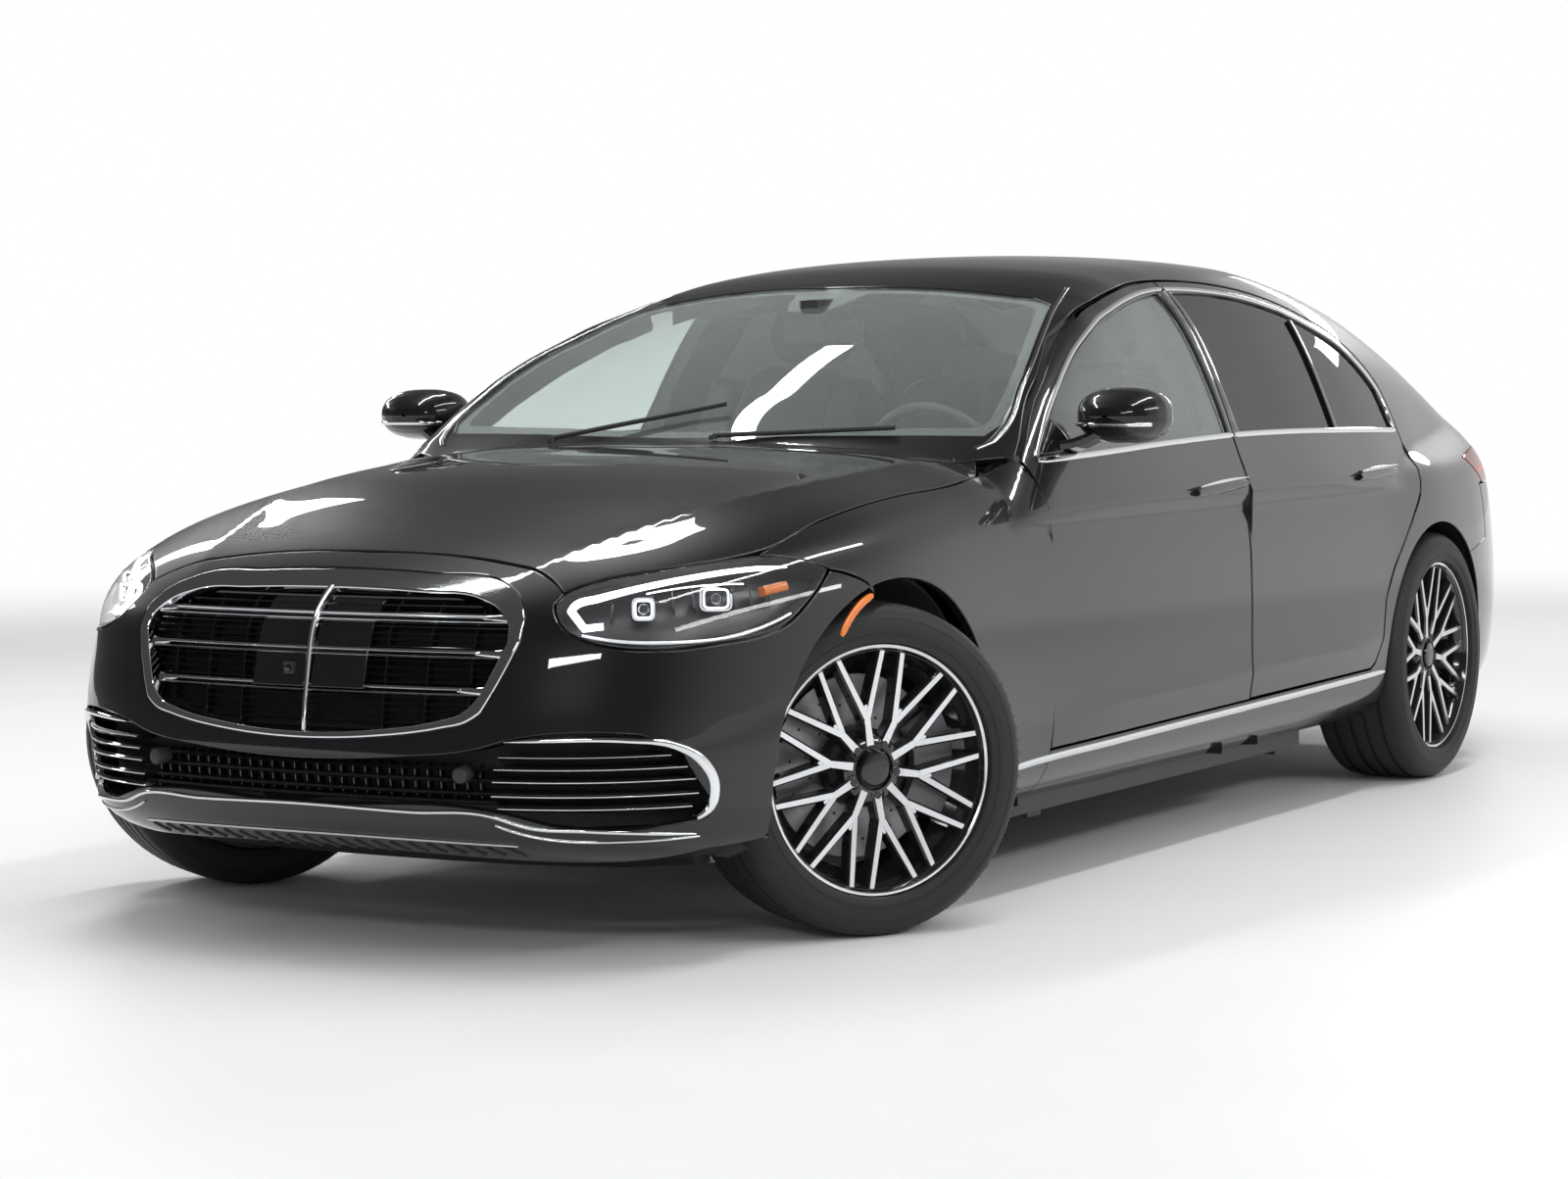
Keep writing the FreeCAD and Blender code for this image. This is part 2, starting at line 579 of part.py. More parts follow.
# Cross bars: height of the thick blade and of the thin one under it, with their half heights
BARS = [(714, 7), (694, 3), (643, 7), (623, 3), (572, 7), (552, 3)]
grille_mesh = grille_back.common(grille_space)
bars = [grille_fan.common(grille_space).common(box(2200, 2800, -480, 480, z - h, z + h)) for z, h in BARS]
post = grille_fan.common(grille_space).common(box(2200, 2800, -8, 8, 459, 797))
frame_ring = grille_fan.common(grille_space).cut(front_prism(grown(whole(GRILLE), -14), 2200, 2900))
place("grille", joined([grille_mesh, frame_ring, post] + bars))
intake_room = intake_space.common(box(2230, 2800, -1000, 1000, 200, 600))
lower_mesh = fan(NOSE_CENTRE, 1, INTAKE_ANGLES, INTAKE_LEVELS, 40, 58).common(intake_room)
fin_fan = fan(NOSE_CENTRE, 1, INTAKE_ANGLES, INTAKE_LEVELS, 4, 45).common(intake_room)
fins = [fin_fan.common(box(2100, 2800, -900, 900, z - 5, z + 5)) for z in (345, 375, 405)]
place("lower_grille", joined([lower_mesh] + fins))

# Tail: bumper below, lamps in the corners, the rest welded to the body
LAMP_BAND = [(-1852, 916), (-1955, 838), (-2700, 800), (-2700, 930), (-2200, 950)]
REAR_BUMPER = [(-1770, 150), (-1812, 620), (-1893, 676), (-1903, 838), (-2700, 800), (-2700, 150)]
TAIL_LAMP_INNER = 560
lamp_band = side_prism(LAMP_BAND, -1100, 1100)
tail_block = fan(TAIL_CENTRE, -1, TAIL_ANGLES, [780, 850, 920, 970], 0, 60)
tail_lamps = tail_block.common(lamp_band).cut(lid_space).cut(box(-1905, -1800, -1100, 1100, 700, 1000))
# The lamps go on over the lid, in recesses of its skin
LID_LAMP = [(604, 846), (604, 928), (520, 930), (430, 926), (345, 912), (330, 888), (360, 858), (450, 848)]
lens = fan(TAIL_CENTRE, -1, [8, 16, 24, 32, 40], [830, 870, 910, 940], 0, 20)
lid_lamp = lens.common(front_prism(LID_LAMP, -2700, -2400))
lid = lid.cut(lid_lamp).cut(mirrored(lid_lamp))
rear_bumper = tail.common(side_prism(grown(REAR_BUMPER, -3), -1100, 1100)).cut(lid_space).cut(rear_arches)
bumper_space = side_prism(REAR_BUMPER, -1100, 1100)
corner = tail.common(box(-2700, -2320, -1100, 1100, 820, 1300)).cut(tail_block.common(lamp_band)).cut(lid_space)

# Body: cabin ring, the posts behind the doors' leading edges, the inner centre pillars
hinge_post = ring([1056, 1180, 1330], (24, 24), (dim("side_thickness") + 36, 80))
inner_face = (door_depth[0] + 10, door_depth[1] + 10)
centre_post = ring([-235, -120, -20], inner_face, (inner_face[0] + 28, inner_face[1] + 28))
# Room for the inner corners of the doors' leading edges, which swing inboard
SWING_ROOM = [(rear_edge, dim("hinge_sweep") + 6, 330, belt + 18), (rear_edge, 136, belt + 8, 1110)]
for x, radius, z0, z1 in SWING_ROOM:
    room = Part.makeCylinder(radius, z1 - z0, V(x, hinge_y, z0))
    centre_post = centre_post.cut(room).cut(mirrored(room))
pillar_room = Part.makeCylinder(144, 36, V(front_edge, hinge_y, belt + 2))
shell = cabin.cut(box(1056, 1400, -1200, 1200, 0, belt)).fuse(hinge_post)
shell = shell.cut(pillar_room).cut(mirrored(pillar_room))
shell = shell.cut(screen_space).cut(backlight_space)
for cut in body_cut:
    shell = shell.cut(cut).cut(mirrored(cut))
shell = shell.cut(box(-2400, LID_FRONT + gap, -LID_HALF - gap, LID_HALF + gap, 600, 1300))
shell = shell.cut(bumper_space).cut(tail_block.common(lamp_band)).cut(rear_arches)
shell = shell.cut(box(1000, 1400, -1200, 1200, belt - 60, 1600).common(hood_top)).cut(fender).cut(mirrored(fender))
hood_axis_z = skin_hit(V(HOOD_AXIS_X, HOOD_TAB_Y, 640), V(0, 0, 1)).z - 14
hood_swing = across(HOOD_AXIS_X, hood_axis_z, 32, 690, 800)
hood_pocket = box(HOOD_AXIS_X - 30, HOOD_AXIS_X + 120, HOOD_TAB_Y - 12, HOOD_TAB_Y + 12, hood_axis_z - 40, 1200)
hood_pin = across(HOOD_AXIS_X, hood_axis_z, pin, HOOD_TAB_Y - 34, HOOD_TAB_Y + 6)
hood_ear = box(HOOD_AXIS_X - 16, HOOD_AXIS_X + 10, HOOD_TAB_Y - 38, HOOD_TAB_Y - 16, hood_axis_z - 50, hood_axis_z + 8)
for cut in (hood_swing, hood_pocket):
    shell = shell.cut(cut).cut(mirrored(cut))
fender = fender.cut(hood_swing)
hood_tab = box(HOOD_AXIS_X - 12, HOOD_AXIS_X + 60, HOOD_TAB_Y - 5, HOOD_TAB_Y + 5, hood_axis_z - 16, hood_axis_z + 4)
hood_tab = hood_tab.cut(across(HOOD_AXIS_X, hood_axis_z, eye, 690, 800))
big = [s for s in shell.Solids if s.Volume > 1e6]
sill_bridge = box(-235, -20, 800, 900, sill, sill + 40)
roof_bridge = box(-235, -20, -480, 480, 1418, 1444)
shelf = box(-1770, -1400, -830, 830, 985, 1000)

# Trunk hinges: curved necks on the lid turn on pins under the parcel shelf's rear edge
TRUNK_AXIS = (-1800, 1090)
NECK_Y = 500
NECK = [(0, 0), (-62, -190), (-125, -250), (-215, -235), (-255, -110), (-262, -30)]
trunk_pin = across(TRUNK_AXIS[0], TRUNK_AXIS[1], pin, NECK_Y - 14, NECK_Y + 40)
trunk_bracket = box(TRUNK_AXIS[0] - 14, -1740, NECK_Y + 16, NECK_Y + 40, 985, TRUNK_AXIS[1] + 14)
neck_eye = across(TRUNK_AXIS[0], TRUNK_AXIS[1], 20, NECK_Y - 10, NECK_Y + 10)
neck_points = [V(TRUNK_AXIS[0] + u, NECK_Y, TRUNK_AXIS[1] + w) for u, w in NECK]
neck = [rod(a, b, 10) for a, b in zip(neck_points, neck_points[1:])] + [Part.makeSphere(10, p) for p in neck_points[1:-1]]
neck_foot = box(TRUNK_AXIS[0] - 300, TRUNK_AXIS[0] - 245, NECK_Y - 10, NECK_Y + 10, TRUNK_AXIS[1] - 60, TRUNK_AXIS[1] + 20)
neck = joined([neck_eye, neck_foot] + neck).cut(across(TRUNK_AXIS[0], TRUNK_AXIS[1], eye, NECK_Y - 30, NECK_Y + 30))

leaves = [hinge_leaf(front_edge, z, 1110) for z in LEAF_HEIGHTS]
leaves += [hinge_leaf(rear_edge, z, rear_edge + 60) for z in LEAF_HEIGHTS]
carried = [sill_bridge, hood_pin.fuse(hood_ear), trunk_pin.fuse(trunk_bracket)] + leaves
body = joined(big + [centre_post, roof_bridge, shelf] + carried + [mirrored(c) for c in carried] + corner.Solids)
lid = joined([lid, neck, mirrored(neck)])
hood = joined([hood, hood_tab, mirrored(hood_tab)])
body = max(body.Solids, key=lambda part: part.Volume)
place("body_shell", body)
place("hood", solids(hood))
place("trunk_lid", solids(lid))
place("tail_lamps", solids(tail_lamps))
place("lid_lamps", both(solids(lid_lamp)))
rear_stay = box(-2597, -2480, 380, 420, 340, 400)
TIP = (540, 700, 236, 306)
tip_hole = box(-2700, -2300, TIP[0], TIP[1], TIP[2], TIP[3])
rear_bumper = rear_bumper.cut(tip_hole).cut(mirrored(tip_hole))
place("rear_bumper", joined([solids(rear_bumper), rear_stay, mirrored(rear_stay)]))


def fender_stay(x):
    """Angle from the fender's inner edge to the upper rail."""
    top = skin_hit(V(x, 816, 640), V(0, 0, 1)).z - 9
    return box(x, x + 32, 650, 822, rail_top, rail_top + 8).fuse(box(x, x + 32, 810, 822, rail_top, top))


rail_top = 735
fender = max(fender.Solids, key=lambda part: part.Volume)
fender_all = joined([fender, fender_stay(1480), fender_stay(1952)])
place("front_fenders", both(fender_all))
place("headlamps", both(solids(lamp.cut(fender_all).cut(bumper))))
bumper_stay = box(2400, 2556, 500, 540, 478, 520)
place("front_bumper", joined([solids(bumper), bumper_stay, mirrored(bumper_stay)]))

# Doors with their glass, handles and mirrors
for name, (outline, hinge_x, window, handle_x, z0, z1) in DOORS.items():
    hole = side_prism(window, 500, 1100).common(plan_prism(grown(DOOR_SIDE, -12), 0, 1600))
    door = solids(doors[name].cut(hole))
    sheet_glass = pane.common(hole)
    face = skin_hit(V(handle_x - 170, 0, (z0 + z1) / 2), V(0, 1, 0)).y
    handle = box(handle_x - dim("handle_length"), handle_x, face - 12, face + 20, z0, z1)
    handle = handle.cut(box(handle_x - dim("handle_length") + 60, handle_x - 60, face - 30, face + 4, z0 - 1, z1 + 1))
    door = joined([door, handle])
    if name == "rear":
        post = side_prism(QUARTER_POST, 500, 1100).common(ring([-1150, -980, -850], (6, 6), (30, 30)))
        sheet_glass = sheet_glass.cut(side_prism(QUARTER_POST, 500, 1100))
        door = joined([door, post])
    for side_name, side in SIDES:
        place("door_%s_%s" % (name, side_name), sided(door, side))
        place("door_glass_%s_%s" % (name, side_name), sided(solids(sheet_glass), side))
    if name == "front":
        front_door, front_glass = door, sheet_glass

# Mirror housing: octagon sections, each at a station with its half width, half height and centre
MIRROR_SECTIONS = [(735, 66, 46, 966, 1086), (748, 80, 60, 970, 1086), (790, 84, 66, 970, 1086), (840, 76, 58, 972, 1086),
                   (876, 52, 36, 976, 1086), (892, 20, 14, 980, 1086)]
mirror_head = loft([[V(x, cy + ry * math.cos(math.radians(a)), cz + rz * math.sin(math.radians(a)))
                     for a in range(0, 360, 24)] for x, ry, rz, cy, cz in MIRROR_SECTIONS])
mirror_arm = box(790, 860, 840, 945, belt + 34, belt + 66)
mirror = joined([mirror_head, mirror_arm]).cut(front_door).cut(front_glass)
mirror = max(mirror.Solids, key=lambda part: part.Volume)
for side_name, side in SIDES:
    place("mirror_" + side_name, sided(mirror, side))

# Floor, firewall, rails, wheelhouses
floor_z = dim("floor_height")
floor_top = floor_z + dim("floor_thickness")
tunnel = dim("tunnel_width") / 2
KICK_X = -640            # where the floor rises under the rear seat
STEP_X = -1270           # and again over the rear axle
SEAT_PAN = 340
TRUNK_FLOOR = 490
SHEET = 18
pan = box(KICK_X, 1222, -850, 850, floor_z, floor_top)
tunnel_out = box(KICK_X, 1222, -tunnel, tunnel, floor_z, floor_top + dim("tunnel_height"))
tunnel_in = box(KICK_X - 100, 1300, -tunnel + 12, tunnel - 12, floor_z - 10, floor_top + dim("tunnel_height") - 12)
firewall = box(1205, 1222, -820, 820, floor_z, 900)
kick = box(KICK_X - SHEET, KICK_X, -850, 850, floor_z, SEAT_PAN + SHEET)
seat_pan = box(STEP_X, KICK_X, -850, 850, SEAT_PAN, SEAT_PAN + SHEET)
for y0, y1 in ((536, 900), (-900, -536)):
    seat_pan = seat_pan.cut(across(XR, RT, dim("rear_arch_radius") + 2, y0, y1))
step = box(STEP_X - SHEET, STEP_X, -560, 560, SEAT_PAN, TRUNK_FLOOR + SHEET)
rear_floor = box(-2440, STEP_X, -545, 545, TRUNK_FLOOR, TRUNK_FLOOR + SHEET)
rails = [box(1210, 2400, y, y + 80, 380, 480) for y in (330, -410)]
cross = box(2360, 2400, -545, 545, 380, 500)
rear_rails = [box(-2480, STEP_X, y, y + 60, TRUNK_FLOOR - 80, TRUNK_FLOOR) for y in (400, -460)]
rear_cross = box(-2480, -2440, -500, 500, 330, TRUNK_FLOOR + SHEET)
sill_rail = box(KICK_X, 1045, 780, 850, floor_z, 250)


def wheelhouse(x, radius, inner_y, outer_y, low):
    """Half-round liner with its inner wall, left side."""
    wall_t = dim("liner_wall")
    shape = across(x, RT, radius + wall_t, inner_y - wall_t, outer_y).cut(across(x, RT, radius, inner_y, outer_y + 10))
    return shape.common(box(x - 600, x + 600, 0, 1200, low, 1000))


nose_room = plan_prism([(1300, 300), (1300, 852), (1410, 852), (1480, 900), (1900, 900), (2040, 850), (2160, 770), (2240, 690), (2240, 300)], 0, 1000)
front_house = wheelhouse(XF, dim("front_arch_radius") + 2, 452, 920, 240).common(nose_room)
rear_house = wheelhouse(XR, dim("rear_arch_radius") + 2, 540, 900, 300)
upper_rail = box(1210, 2120, 650, 700, rail_top - 30, rail_top)
tower = Part.makeCylinder(75, 40, V(XF, 590, rail_top - 30), V(0, 0, 1))
stay = box(2300, 2330, 360, 560, 440, 620)
pads = [box(x - 35, x + 35, 765, 835, floor_z - 15, floor_z) for x in (930, -560)]
under = [pan, tunnel_out, firewall, kick, seat_pan, step, rear_floor, cross, rear_cross] + rails + rear_rails
for one in [front_house, rear_house, upper_rail, tower, stay, sill_rail] + pads:
    under += [one, mirrored(one)]
seat_brace = box(-1320, -1302, -700, 700, TRUNK_FLOOR, 985)
underbody = joined(under).cut(tunnel_in).cut(body)
for cut in body_cut:
    underbody = underbody.cut(cut).cut(mirrored(cut))
underbody = max(underbody.Solids, key=lambda part: part.Volume)
place("underbody", underbody)
place("rear_bulkhead", solids(seat_brace.cut(body).cut(underbody)))



def bound(kind, label, fields, base=V(0, 0, 0), turn=FreeCAD.Rotation()):
    """Primitive whose fields are numbers or take their value from the dimensions."""
    piece = doc.addObject(kind, label)
    piece.Label = label
    for field, value in fields.items():
        if isinstance(value, str):
            piece.setExpression(field, value)
        else:
            setattr(piece, field, value)
    piece.Placement = FreeCAD.Placement(base, turn)
    return piece


engine = bound("Part::Box", "engine", {"Length": "Dimensions.engine_length", "Width": "Dimensions.engine_width",
                                       "Height": "Dimensions.engine_height"},
               V(1330, -dim("engine_width") / 2, 290))
parts.append(engine)

# Cabin
seat_w = dim("seat_width")
seat_top = dim("seat_height")
seat_l = dim("seat_length")


def seat(x, y, width, back_height):
    """Cushion, back and headrest of one seat; x is the joint of cushion and back."""
    profile = [(x - 60, seat_top - 190), (x + seat_l, seat_top - 150), (x + seat_l + 10, seat_top - 10), (x + 430, seat_top + 16),
               (x + 110, seat_top - 20), (x - 70, back_height), (x - 185, back_height), (x - 110, seat_top - 60)]
    body_ = side_prism(profile, y - width / 2, y + width / 2)
    return body_


def headrest(x, y, z):
    return box(x, x + 95, y - 135, y + 135, z, z + 180)


seat_y = dim("seat_offset")
rest = headrest(-190, seat_y, 1120)
posts = [rod((-150, seat_y + d, 1050), (-150, seat_y + d, 1130), 7) for d in (-60, 60)]
front_seat = joined([seat(-20, seat_y, seat_w, 1090), rest] + posts
                    + [box(20, 440, seat_y + d - 20, seat_y + d + 20, floor_top, seat_top - 160) for d in (-210, 210)])
for side_name, side in SIDES:
    place("front_seat_" + side_name, sided(front_seat, side))
rear_profile = [(-1240, 400), (-1180, SEAT_PAN + SHEET), (KICK_X - 2, SEAT_PAN + SHEET), (KICK_X - 2, 392), (-580, seat_top + 10), (-980, seat_top),
                (-1180, 1030), (-1290, 1030), (-1262, 520)]
rear_rests = [box(-1285, -1195, y - 140, y + 140, 1010, 1160) for y in (380, -380)]
rear_seat = joined([side_prism(rear_profile, -690, 690)] + rear_rests)
for side in (1, -1):
    rear_seat = rear_seat.cut(sided(across(XR, RT, dim("rear_arch_radius") + 12, 525, 1000), side))
place("rear_seat", rear_seat)

COLUMN_TILT = 24
wheel_centre = V(610, seat_y - 10, 930)
axis = V(-math.cos(math.radians(COLUMN_TILT)), 0, math.sin(math.radians(COLUMN_TILT)))
column = Part.makeCylinder(26, 330, wheel_centre - axis * 371, axis)
dash_profile = [(1190, 640), (1190, 850), (1110, 930), (1000, 950), (900, 940), (850, 890), (880, 760), (900, 640)]
tunnel_top = floor_top + dim("tunnel_height")
console_profile = [(-250, tunnel_top), (-250, 600), (60, 620), (520, 600), (880, 800), (960, 800), (960, tunnel_top)]
dash = joined([side_prism(dash_profile, -780, 780), side_prism(console_profile, -130, 130), column]).cut(body)
place("dashboard", max(dash.Solids, key=lambda part: part.Volume))
# Steering wheel in its own axes: z along the column towards the driver, x up in the wheel's plane
reach_out = dim("steering_wheel_radius") - 4
grip = bound("Part::Torus", "wheel_grip", {"Radius1": "Dimensions.steering_wheel_radius",
                                          "Radius2": "Dimensions.steering_grip_radius"})
hub = bound("Part::Cylinder", "wheel_hub", {"Radius": 62, "Height": 50}, V(0, 0, -40))
cross_spoke = bound("Part::Box", "wheel_cross_spoke", {"Length": 34, "Width": "2 * Dimensions.steering_wheel_radius - 8",
                                                       "Height": 12}, V(-17, -reach_out, -18))
low_spoke = bound("Part::Box", "wheel_low_spoke", {"Length": "Dimensions.steering_wheel_radius - 4", "Width": 34,
                                                   "Height": 12}, V(-reach_out, -17, -18))
steering_wheel = doc.addObject("Part::MultiFuse", "steering_wheel")
steering_wheel.Label = "steering_wheel"
steering_wheel.Shapes = [grip, hub, cross_spoke, low_spoke]
steering_wheel.Placement = FreeCAD.Placement(wheel_centre, FreeCAD.Rotation(V(0, 1, 0), COLUMN_TILT - 90))
parts.append(steering_wheel)

# Wipers: arms lying over the windscreen's foot, each on a spindle through the cowl

def wiper(y0, y1):
    """One arm, held clear of the glass."""
    base = skin_hit(V(1205, y0, 700), V(0, 0, 1))
    tip = skin_hit(V(1075, y1, 700), V(0, 0, 1))
    lift = V(0, 0, 16)
    return joined([rod(base + lift, tip + lift, 6), rod(base - V(0, 0, 20), base + lift, 11)])


place("wipers", Part.makeCompound([solids(wiper(*ends_).cut(body)) for ends_ in ((-330, 90), (130, 550))]))

# Exhaust
pipe = dim("exhaust_radius")
run = []
for q in (1, -1):
    path = [(1150, 60 * q, 225), (-620, 60 * q, 225), (-900, 190 * q, 225), (-1990, 190 * q, 240)]
    run += [rod(a, b, pipe) for a, b in zip(path, path[1:])]
    run += [Part.makeSphere(pipe, V(*p)) for p in path[1:-1]]
    tip_out = box(-2560, -2330, q * 620 - 72, q * 620 + 72, TIP[2] + 6, TIP[3] - 6)
    tip_in = box(-2570, -2340, q * 620 - 66, q * 620 + 66, TIP[2] + 12, TIP[3] - 12)
    run += [tip_out.cut(tip_in), rod((-2200, 300 * q, 262), (-2345, 620 * q, 271), 24)]
muffler = box(-2350, -1960, -370, 370, 205, 320)
hangers = [box(-2300, -2280, min(360 * q, 430 * q), max(360 * q, 430 * q), 250, 266) for q in (1, -1)]
hangers += [box(-2300, -2280, 420 * q - 10, 420 * q + 10, 250, TRUNK_FLOOR - 80) for q in (1, -1)]
place("exhaust", joined(run + [muffler] + hangers))

# Suspension: arms and struts per side, welded to their crossmembers
disc_t = dim("disc_thickness")
DISC_INBOARD = 10
HAT_FACE = 38            # where the wheel bolts on, outboard of its middle plane
HAT_BACK = 46
reach_in = dim("kingpin_reach")
front_parts = [box(XF - 130, XF + 130, -330, 330, 200, 290), box(XF - 60, XF + 60, -400, 400, 290, 380),
               box(1330, 1400, -330, 330, 250, 290), box(1340, XF - 120, 290, 330, 250, 285),
               box(1340, XF - 120, -330, -290, 250, 285)]
for side_name, side in SIDES:
    links = [rod((XF + q * 110, 300, 240), (XF + q * 18, 660, 215), 17) for q in (1, -1)]
    strut = joined([rod((XF, 605, 470), (XF, 592, 720), 30), rod((XF, 603, 540), (XF, 594, 690), 52),
                    box(XF - 40, XF + 40, 560, 665, 452, 492)])
    strut = strut.common(box(1600, 2000, 0, 1200, 0, rail_top - 30))
    for link in links + [strut]:
        seat_cut = Part.makeCylinder(reach_in + .5, 800, V(XF, YF, 0))
        front_parts.append(sided(link.cut(seat_cut), side))
front_susp = joined(front_parts).cut(box(1330, 1970, -260, 260, 290, 400))
rear_parts = [box(XR - 150, XR + 150, -320, 320, 300, 370), Part.makeSphere(118, V(XR, 0, 340)),
              rod((XR, -640, RT), (XR, 640, RT), 22), box(XR - 60, XR + 60, 380, 440, 300, TRUNK_FLOOR - 80),
              box(XR - 60, XR + 60, -440, -380, 300, TRUNK_FLOOR - 80), box(XR - 60, XR + 60, -440, 440, 300, 340)]
for side_name, side in SIDES:
    rear_parts += [sided(p, side) for p in (
        rod((XR - 120, 310, 320), (XR - 10, YR - 195, 215), 18), rod((XR + 120, 310, 320), (XR + 10, YR - 195, 215), 18),
        box(XR - 45, XR + 45, YR - 215, YR - 170, 190, 500), across(XR, RT, 56, YR - 215, YR + HAT_FACE - .4),
        rod((XR, YR - 195, 480), (XR, 615, 750), 30))]
rear_susp = joined(rear_parts)


def caliper(radius, centre_y):
    """Caliper over a disc behind the axle, in wheel axes: x along, y outboard, z up."""
    outer = Part.makeCylinder(radius + 22, 96, V(0, centre_y - 48, 0), V(0, 1, 0))
    outer = outer.cut(Part.makeCylinder(radius - 72, 100, V(0, centre_y - 50, 0), V(0, 1, 0)))
    slot = Part.makeCylinder(radius + 6, disc_t + 12, V(0, centre_y - disc_t / 2 - 6, 0), V(0, 1, 0))
    sector = side_prism([(0, 0), (-400, 270), (-400, -270)], centre_y - 60, centre_y + 60)
    return outer.cut(slot).common(sector)


def axle_end(x, y, side, turn):
    """Placement of a wheel centre; turn is about the upright axis."""
    return FreeCAD.Placement(V(x, side * y, RT), FreeCAD.Rotation(V(0, 0, 1), turn))


def put(shape, placement):
    """Shape moved to a placement, to be joined with others."""
    moved = shape.copy()
    moved.Placement = placement
    return moved


front_disc_y = -DISC_INBOARD


def round_seat(z0, z1):
    """Flange of the knuckle, round about the steering axis, in wheel axes."""
    flange = Part.makeCylinder(reach_in, z1 - z0, V(0, 0, z0)).cut(Part.makeCylinder(reach_in - 34, z1 - z0, V(0, 0, z0)))
    return flange.common(plan_prism([(0, 0), (-190, -300), (190, -300)], z0, z1))


knuckle = joined([across(0, 0, 56, -150, HAT_FACE - .4), box(-40, 40, -172, -138, -160, 136),
                  round_seat(-165, -115), round_seat(96, 136), box(-200, -40, -150, -50, -36, 36),
                  caliper(dim("disc_radius_front"), front_disc_y)])
knuckle = knuckle.common(Part.makeCylinder(reach_in, 800, V(0, 0, -400)).fuse(box(-300, -40, -150, 200, -400, 400)))
rear_caliper = caliper(dim("disc_radius_rear"), front_disc_y)
rear_bracket = box(-185, -50, -150, -50, -36, 36)
for side_name, side in SIDES:
    rear_susp = joined([rear_susp, put(sided(joined([rear_caliper, rear_bracket]), side), axle_end(XR, YR, side, 0)),
                        sided(box(XR - 60, XR, YR - 200, YR - 140, RT - 36, RT + 36), side)])
    place("knuckle_front_" + side_name, sided(knuckle, side), axle_end(XF, YF, side, -dim("steer_angle")))
rear_susp = rear_susp.cut(underbody)
place("rear_suspension", max(rear_susp.Solids, key=lambda part: part.Volume))
place("front_suspension", front_susp.cut(underbody))

# Wheels
lip = dim("rim_radius")
bead = dim("seat_radius")
well = dim("rim_well_radius")
hub_r = dim("hub_radius")


def revolved(profile):
    """Solid of revolution about the wheel's axis; profile is (y, radius)."""
    points = [V(0, y, r) for y, r in profile]
    return Part.Face(Part.makePolygon(points + [points[0]])).revolve(V(0, 0, 0), V(0, 1, 0), 360)


def flat_sided_ring(profile, sides):
    """Ring about the y axis whose flats stand at the radii of the profile's (y, radius) pairs."""
    step = 2 * math.pi / sides
    grow = 1 / math.cos(step / 2)
    rows = []
    for i in range(sides):
        a = (i + .5) * step
        rows.append([V(r * grow * math.cos(a), y, r * grow * math.sin(a)) for y, r in profile])
    faces = []
    for i in range(sides):
        here, there = rows[i - 1], rows[i]
        for j in range(len(profile)):
            corners = [here[j - 1], here[j], there[j], there[j - 1]]
            faces.append(Part.Face(Part.makePolygon(corners + corners[:1])))
    ring_ = Part.Solid(Part.Shell(faces))
    if ring_.Volume < 0:
        ring_.reverse()
    return ring_


TYRE_SIDES = 52


def tyre(width):
    w = width / 2
    return flat_sided_ring([(-w * .80, lip + 1), (-w * .98, lip + 30), (-w, lip + 45), (-w * .93, RT - 16), (-w * .80, RT - 4),
                     (-w * .5, RT), (w * .5, RT), (w * .80, RT - 4), (w * .93, RT - 16), (w, lip + 45),
                     (w * .98, lip + 30), (w * .80, lip + 1), (w * .80, bead), (-w * .80, bead)], TYRE_SIDES)


def rim(width):
    w = width / 2 * .80
    barrel = revolved([(-w - 10, lip), (-w, lip), (-w, bead), (-w + 40, bead), (-w + 60, well + 6), (w - 70, well + 6),
                       (w - 40, bead), (w, bead), (w, lip), (w + 10, lip), (w + 10, lip - 14), (w - 6, bead - 10),
                       (w - 40, bead - 14), (w - 72, well), (-w + 62, well), (-w + 40, bead - 14), (-w - 10, bead - 10)])
    face = w - 14
    hub_disc = revolved([(HAT_BACK, 0), (HAT_BACK, hub_r), (face - 20, hub_r), (face - 6, hub_r - 20), (face - 6, 0)])
    root, fork, end = hub_r - 12, 150, bead - 8
    spokes = []
    for i in range(int(dim("spoke_count"))):
        stem = prism([V(-13, face - 40, root), V(13, face - 40, root), V(10, face - 34, fork), V(-10, face - 34, fork)], V(0, 24, 0))
        arms_ = [prism([V(-11, face - 36, fork - 14), V(11, face - 36, fork - 14),
                        V(q * 52 + 7, face - 32, end), V(q * 52 - 7, face - 32, end)], V(0, 24, 0)) for q in (1, -1)]
        for piece in [stem] + arms_:
            piece.rotate(V(0, 0, 0), V(0, 1, 0), 360.0 * i / dim("spoke_count"))
            spokes.append(piece)
    return joined([barrel, hub_disc] + spokes)


